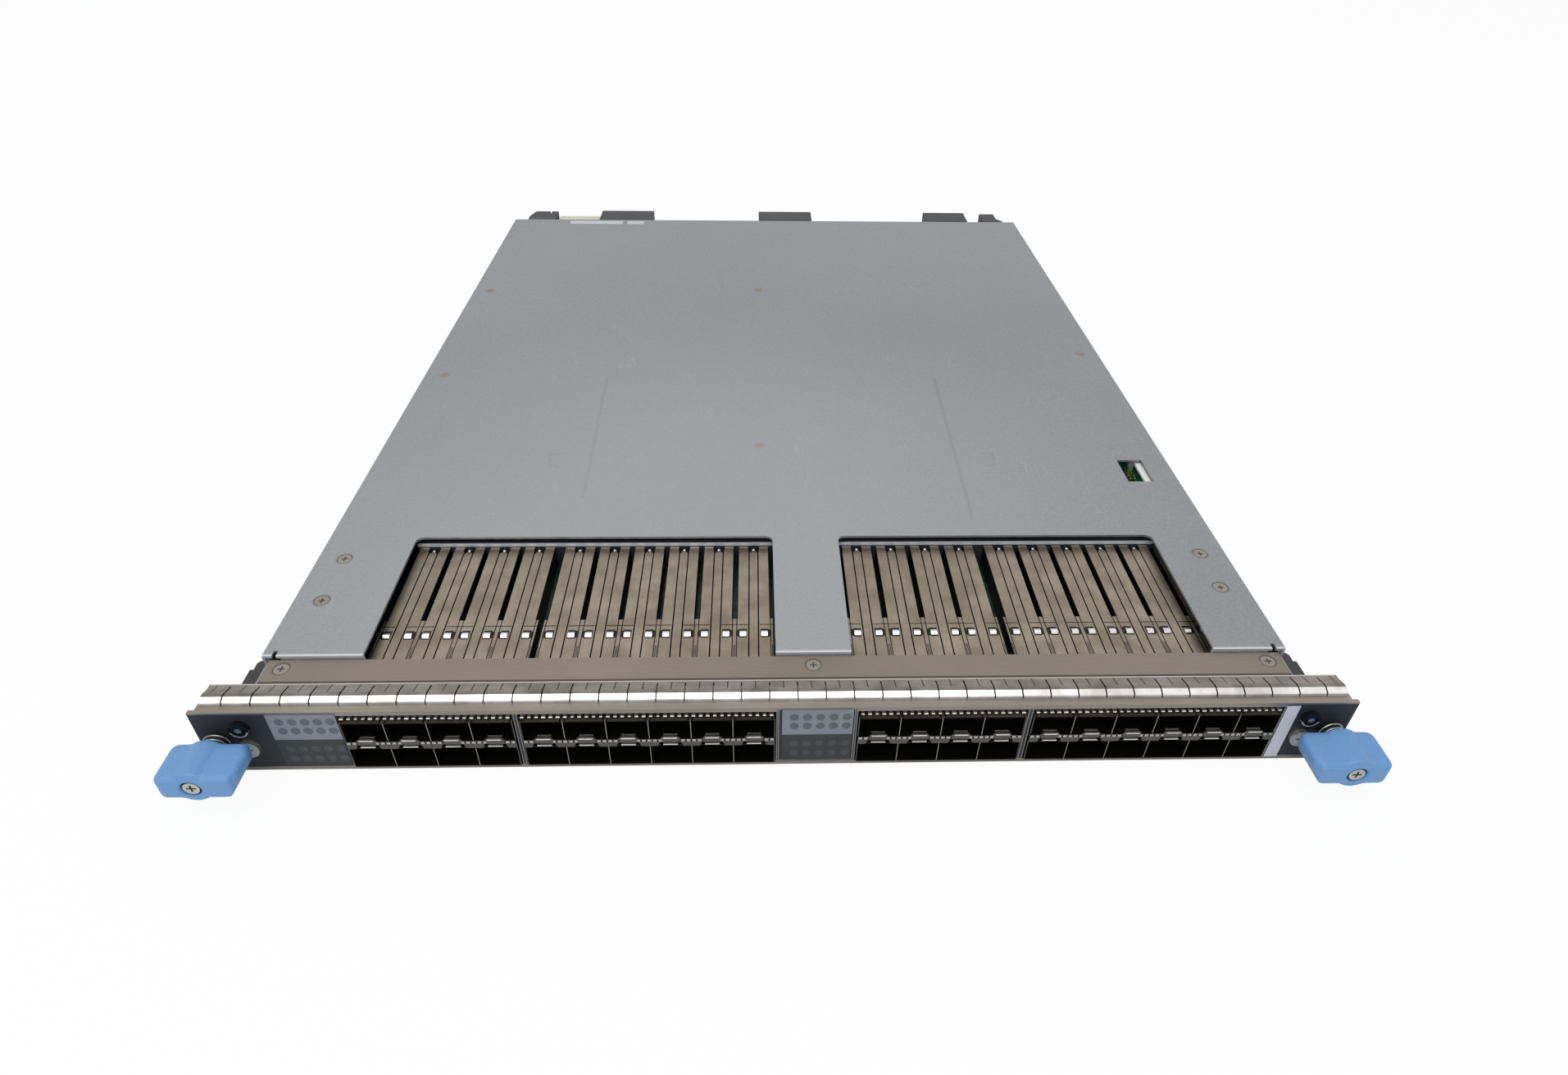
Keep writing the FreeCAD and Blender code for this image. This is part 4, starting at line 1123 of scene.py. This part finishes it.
shape.faces.new(left_side)
shape.faces.new(list(reversed(right_side)))
for index in range(len(TAB_SIDE_VIEW)):
    after = (index + 1) % len(TAB_SIDE_VIEW)
    shape.faces.new((left_side[after], left_side[index], right_side[index], right_side[after]))
bmesh.ops.recalc_face_normals(shape, faces=shape.faces)
tab_spots = [at(x + side * (PITCH / 2 - TAB_FROM_FOLD), 0, 23.9) for x in PORT_CENTRES
             for side in (-1, 1)]
repeat("cage_window_tabs", mesh_of("window_tab", shape), tab_spots, NICKEL["window_tab"])

# %% [markdown]
# ## Screw recesses and leaf tips
#
# The flush screws take a small cross driver, and the tail of each cage's leaf ends in a round
# bead. A cross of four short arms, a hair above the head and dark, stands in for a recess: its
# darkness is painted shade. The round black screws catch the light in theirs, so a bright cross
# lies on the front of their heads as a painted glint. Cutting the recesses with a boolean would be
# truer from a hand's breadth away, and costs a clean mesh.

# %% Crosses and beads
# Painted shade: a dark cross stands in for each screw's recess.
cross = part_of("cross", ((-1.25, -0.28, 0.0), (1.25, 0.28, 0.03), 0),
                ((-0.28, -1.25, 0.0), (0.28, 1.25, 0.034), 0))
cross_spots = [at(x, y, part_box("cover_screws")[1][2] / MM) for x, y in COVER_SCREWS]
cross_spots += [at(x, y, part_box("strip_screws")[1][2] / MM) for x, y in STRIP_SCREWS]
repeat("screw_crosses", cross, cross_spots, PLASTIC["connector_black"], slot="screw_steel")
shape = bmesh.new()
bmesh.ops.create_uvsphere(shape, u_segments=12, v_segments=6, radius=0.6 * MM)
bmesh.ops.scale(shape, vec=(1, 1, 0.35), verts=shape.verts)
repeat("leaf_tip_beads", mesh_of("bead", shape), [at(x, 91.6, 23.95) for x in PORT_CENTRES],
       NICKEL["latch_spring"], slot="cage_steel")
head_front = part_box("black_panel_screws")[0][1]
glint = part_of("glint", ((-1.1, 0.0, -0.26), (1.1, 0.12, 0.26), 0),
                ((-0.26, -0.01, -1.0), (0.26, 0.12, 1.0), 0))
glint_spots = [Vector((x * MM, head_front, BLACK_LEVEL * MM)) for x, y in BLACK_HEADS]
print("black heads reach y", round(head_front / MM, 2))
repeat("black_screw_glints", glint, glint_spots, NICKEL["latch_spring"], slot="screw_black")

# %% [markdown]
# ## Behind the hatch
#
# The hatch gives a hand to a small header on the board: two rows of gilt pins in a black base. A
# long white bar on two feet bridges the board beside it, and a small pale housing stands behind.
# All are seen by anyone who looks straight down the opening, and nobody sees their undersides.

# %% Header pins and housings
PIN_COLUMNS, PIN_ROWS = (0.3, 0.7), [0.14 + 0.18 * row for row in range(5)]
base_low, base_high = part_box("service_header")
print("header base from", [round(v / MM, 1) for v in base_low], "to",
      [round(v / MM, 1) for v in base_high])
pin_spots = [Vector((base_low[0] + column * (base_high[0] - base_low[0]),
                     base_low[1] + row * (base_high[1] - base_low[1]), base_high[2]))
             for column in PIN_COLUMNS for row in PIN_ROWS]
repeat("header_pins", part_of("pin", ((-0.25, -0.25, -1.0), (0.25, 0.25, 1.9), 0.08)), pin_spots,
       NICKEL["gold_pin"], slot="connector_black")
placed("white_housing", PLASTIC["white_housing"], "connector_cream",
       (at(168.4, 126, 25.4), at(172.4, 161, 26.9), 0.3),
       *[(at(169.4, foot, BOARD_TOP), at(171.8, foot + 1.5, 25.6), 0.2) for foot in (126, 159.5)])
placed("pale_housing", PLASTIC["pale_housing"], "connector_cream",
       (at(171.9, 165.0, BOARD_TOP), at(174.8, 169.0, BOARD_TOP + 4.2), 0.3))

# %% [markdown]
# ## Printed windows and bare labels
#
# The indicator plates are films with round windows in two rows, and each carries on below as a
# darker film. Along the right of the ports runs a narrow pale label, left bare here, and two
# short ones lie at the back of the cover. Discs and thin plates on the film are enough: at this
# size nobody sees a hole, only the change of tone.

# %% Indicator windows, lower films and labels
FILM_LIFT, LOWER_FILM_FACE = 0.00002, 0.00025
WINDOW_ROWS, WINDOW_COLUMNS = (0.36, 0.72), [0.17 + 0.185 * index for index in range(5)]
UNLIT_LEVELS = (6.2, 11.2)


def disc_mesh(name, radius, thick):
    shape = bmesh.new()
    bmesh.ops.create_cone(shape, cap_ends=True, segments=28, radius1=radius * MM,
                          radius2=radius * MM, depth=thick * MM)
    bmesh.ops.rotate(shape, cent=(0, 0, 0), verts=shape.verts,
                     matrix=Matrix.Rotation(math.pi / 2, 3, "X"))
    return mesh_of(name, shape)


window_spots = []
for node in ("indicator_plate_left", "indicator_plate_middle"):
    low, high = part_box(node)
    window_spots += [Vector((low[0] + column * (high[0] - low[0]), low[1] - FILM_LIFT,
                             low[2] + row * (high[2] - low[2])))
                     for row in WINDOW_ROWS for column in WINDOW_COLUMNS]
repeat("indicator_windows", disc_mesh("window", 1.55, 0.06), window_spots,
       PLASTIC["indicator_window"], slot="indicator_film")
unlit_spots = [Vector((spot[0], PANEL_FACE - LOWER_FILM_FACE, level * MM))
               for spot in window_spots[::2] for level in UNLIT_LEVELS]
repeat("unlit_windows", disc_mesh("unlit_window", 1.5, 0.05), unlit_spots,
       PLASTIC["unlit_window"], slot="indicator_film")
for name, finish, low, high in (
        ("lower_film_left", "lower_film", (-170.9, -0.25, 2.6), (-148.4, 0, 15.8)),
        ("lower_film_middle", "lower_film", (-0.6, -0.25, 2.6), (23.4, 0, 15.8)),
        ("side_label", "bare_label", (171.4, -0.2, 1.4), (176.0, 0, 27.4)),
        ("rear_label_long", "bare_label", (-142, 466.5, COVER_TOP),
         (-104.5, 472.5, COVER_TOP + 0.1)),
        ("rear_label_short", "bare_label", (-101, 466.5, COVER_TOP),
         (-89, 472.5, COVER_TOP + 0.1))):
    placed(name, PLASTIC[finish], "indicator_film", (at(*low), at(*high), 0.05))
print("films and labels placed on the panel's face at y", round(PANEL_FACE / MM, 1), "mm")

# %% [markdown]
# ## The coil springs
#
# A spring is a line wound on a cylinder. The tree draws a spiral curve from its turns, radius and
# length and sweeps a small circle along it. The CAD coil is made of short straight runs, so this
# round one stands in for it and rides on the same handle. When the grip slides towards the panel
# the real spring closes up; this one keeps its length and moves with the grip.

# %% Coil springs
COIL_TURNS, COIL_RADIUS, WIRE_RADIUS = 5.0, 0.0041, 0.00038
COIL_ENDS, COIL_START = 0.0008, 0.00045


def make_coil_tree():
    tree, given = new_tree("wound_coil", [
        (label, "Float") for label in ("Turns", "Radius", "Length", "Wire")])
    spiral = add(tree, "GeometryNodeCurveSpiral", {
        "Resolution": 32, "Rotations": given["Turns"], "Start Radius": given["Radius"],
        "End Radius": given["Radius"], "Height": given["Length"]})
    circle = add(tree, "GeometryNodeCurvePrimitiveCircle", {"Resolution": 10,
                                                            "Radius": given["Wire"]})
    sweep = add(tree, "GeometryNodeCurveToMesh", {
        "Curve": spiral.outputs["Curve"], "Profile Curve": circle.outputs["Curve"],
        "Fill Caps": True})
    return end_tree(tree, sweep.outputs["Mesh"], given["Material"])


COIL = make_coil_tree()
for side in ("left", "right"):
    low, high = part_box("spring_" + side)
    length = high[1] - low[1]
    inputs = {"Turns": COIL_TURNS, "Radius": COIL_RADIUS, "Length": length - COIL_ENDS,
              "Wire": WIRE_RADIUS, "Material": NICKEL["spring_wire"]}
    mesh = run_tree("coil_" + side, COIL, bpy.data.meshes.new("coil_start"), inputs)
    centre = (Vector(low) + Vector(high)) / 2
    for vertex in mesh.vertices:
        x, y, z = vertex.co
        vertex.co = (centre[0] + x, low[1] + COIL_START + z, centre[2] + y)
    mesh.flip_normals()
    smooth(mesh)
    coil = piece_from("coil_spring_" + side, mesh, NICKEL["spring_wire"], "handle_" + side,
                      "spring_steel")
    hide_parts("spring_" + side)
    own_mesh(coil)

# %% [markdown]
# ## The moulded handles
#
# A moulded grip has no sharp edge anywhere. Rounding the CAD shape edge by edge is hard where
# the boss runs into the block, so a copy is skinned again with small even faces and relaxed,
# which rounds every edge by about a millimetre and leaves the recesses open. The copy carries
# the two modifiers only while they run, and the plain mesh they make becomes the grip.

# %% Handles
WELD_WITHIN, SKIN_STEP, RELAX_ROUNDS = 0.000005, 0.00035, 30
for side in ("left", "right"):
    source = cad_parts["handle_" + side]
    shape = bmesh.new()
    shape.from_mesh(source.data)
    bmesh.ops.remove_doubles(shape, verts=shape.verts, dist=WELD_WITHIN)
    carrier = bpy.data.objects.new("carrier", mesh_of("grip_" + side, shape))
    bpy.context.scene.collection.objects.link(carrier)
    remesh = carrier.modifiers.new("even_skin", "REMESH")
    remesh.mode = "VOXEL"
    remesh.voxel_size = SKIN_STEP
    relax = carrier.modifiers.new("relax", "SMOOTH")
    relax.factor = 0.5
    relax.iterations = RELAX_ROUNDS
    rounded = taken_from(carrier, "grip_" + side)
    smooth(rounded)
    grip = piece_from("grip_" + side, rounded, HANDLE_BLUE, "handle_" + side, "handle_blue")
    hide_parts("handle_" + side)
    print(grip.name, len(rounded.polygons), "faces")

# %% [markdown]

# %% [markdown]
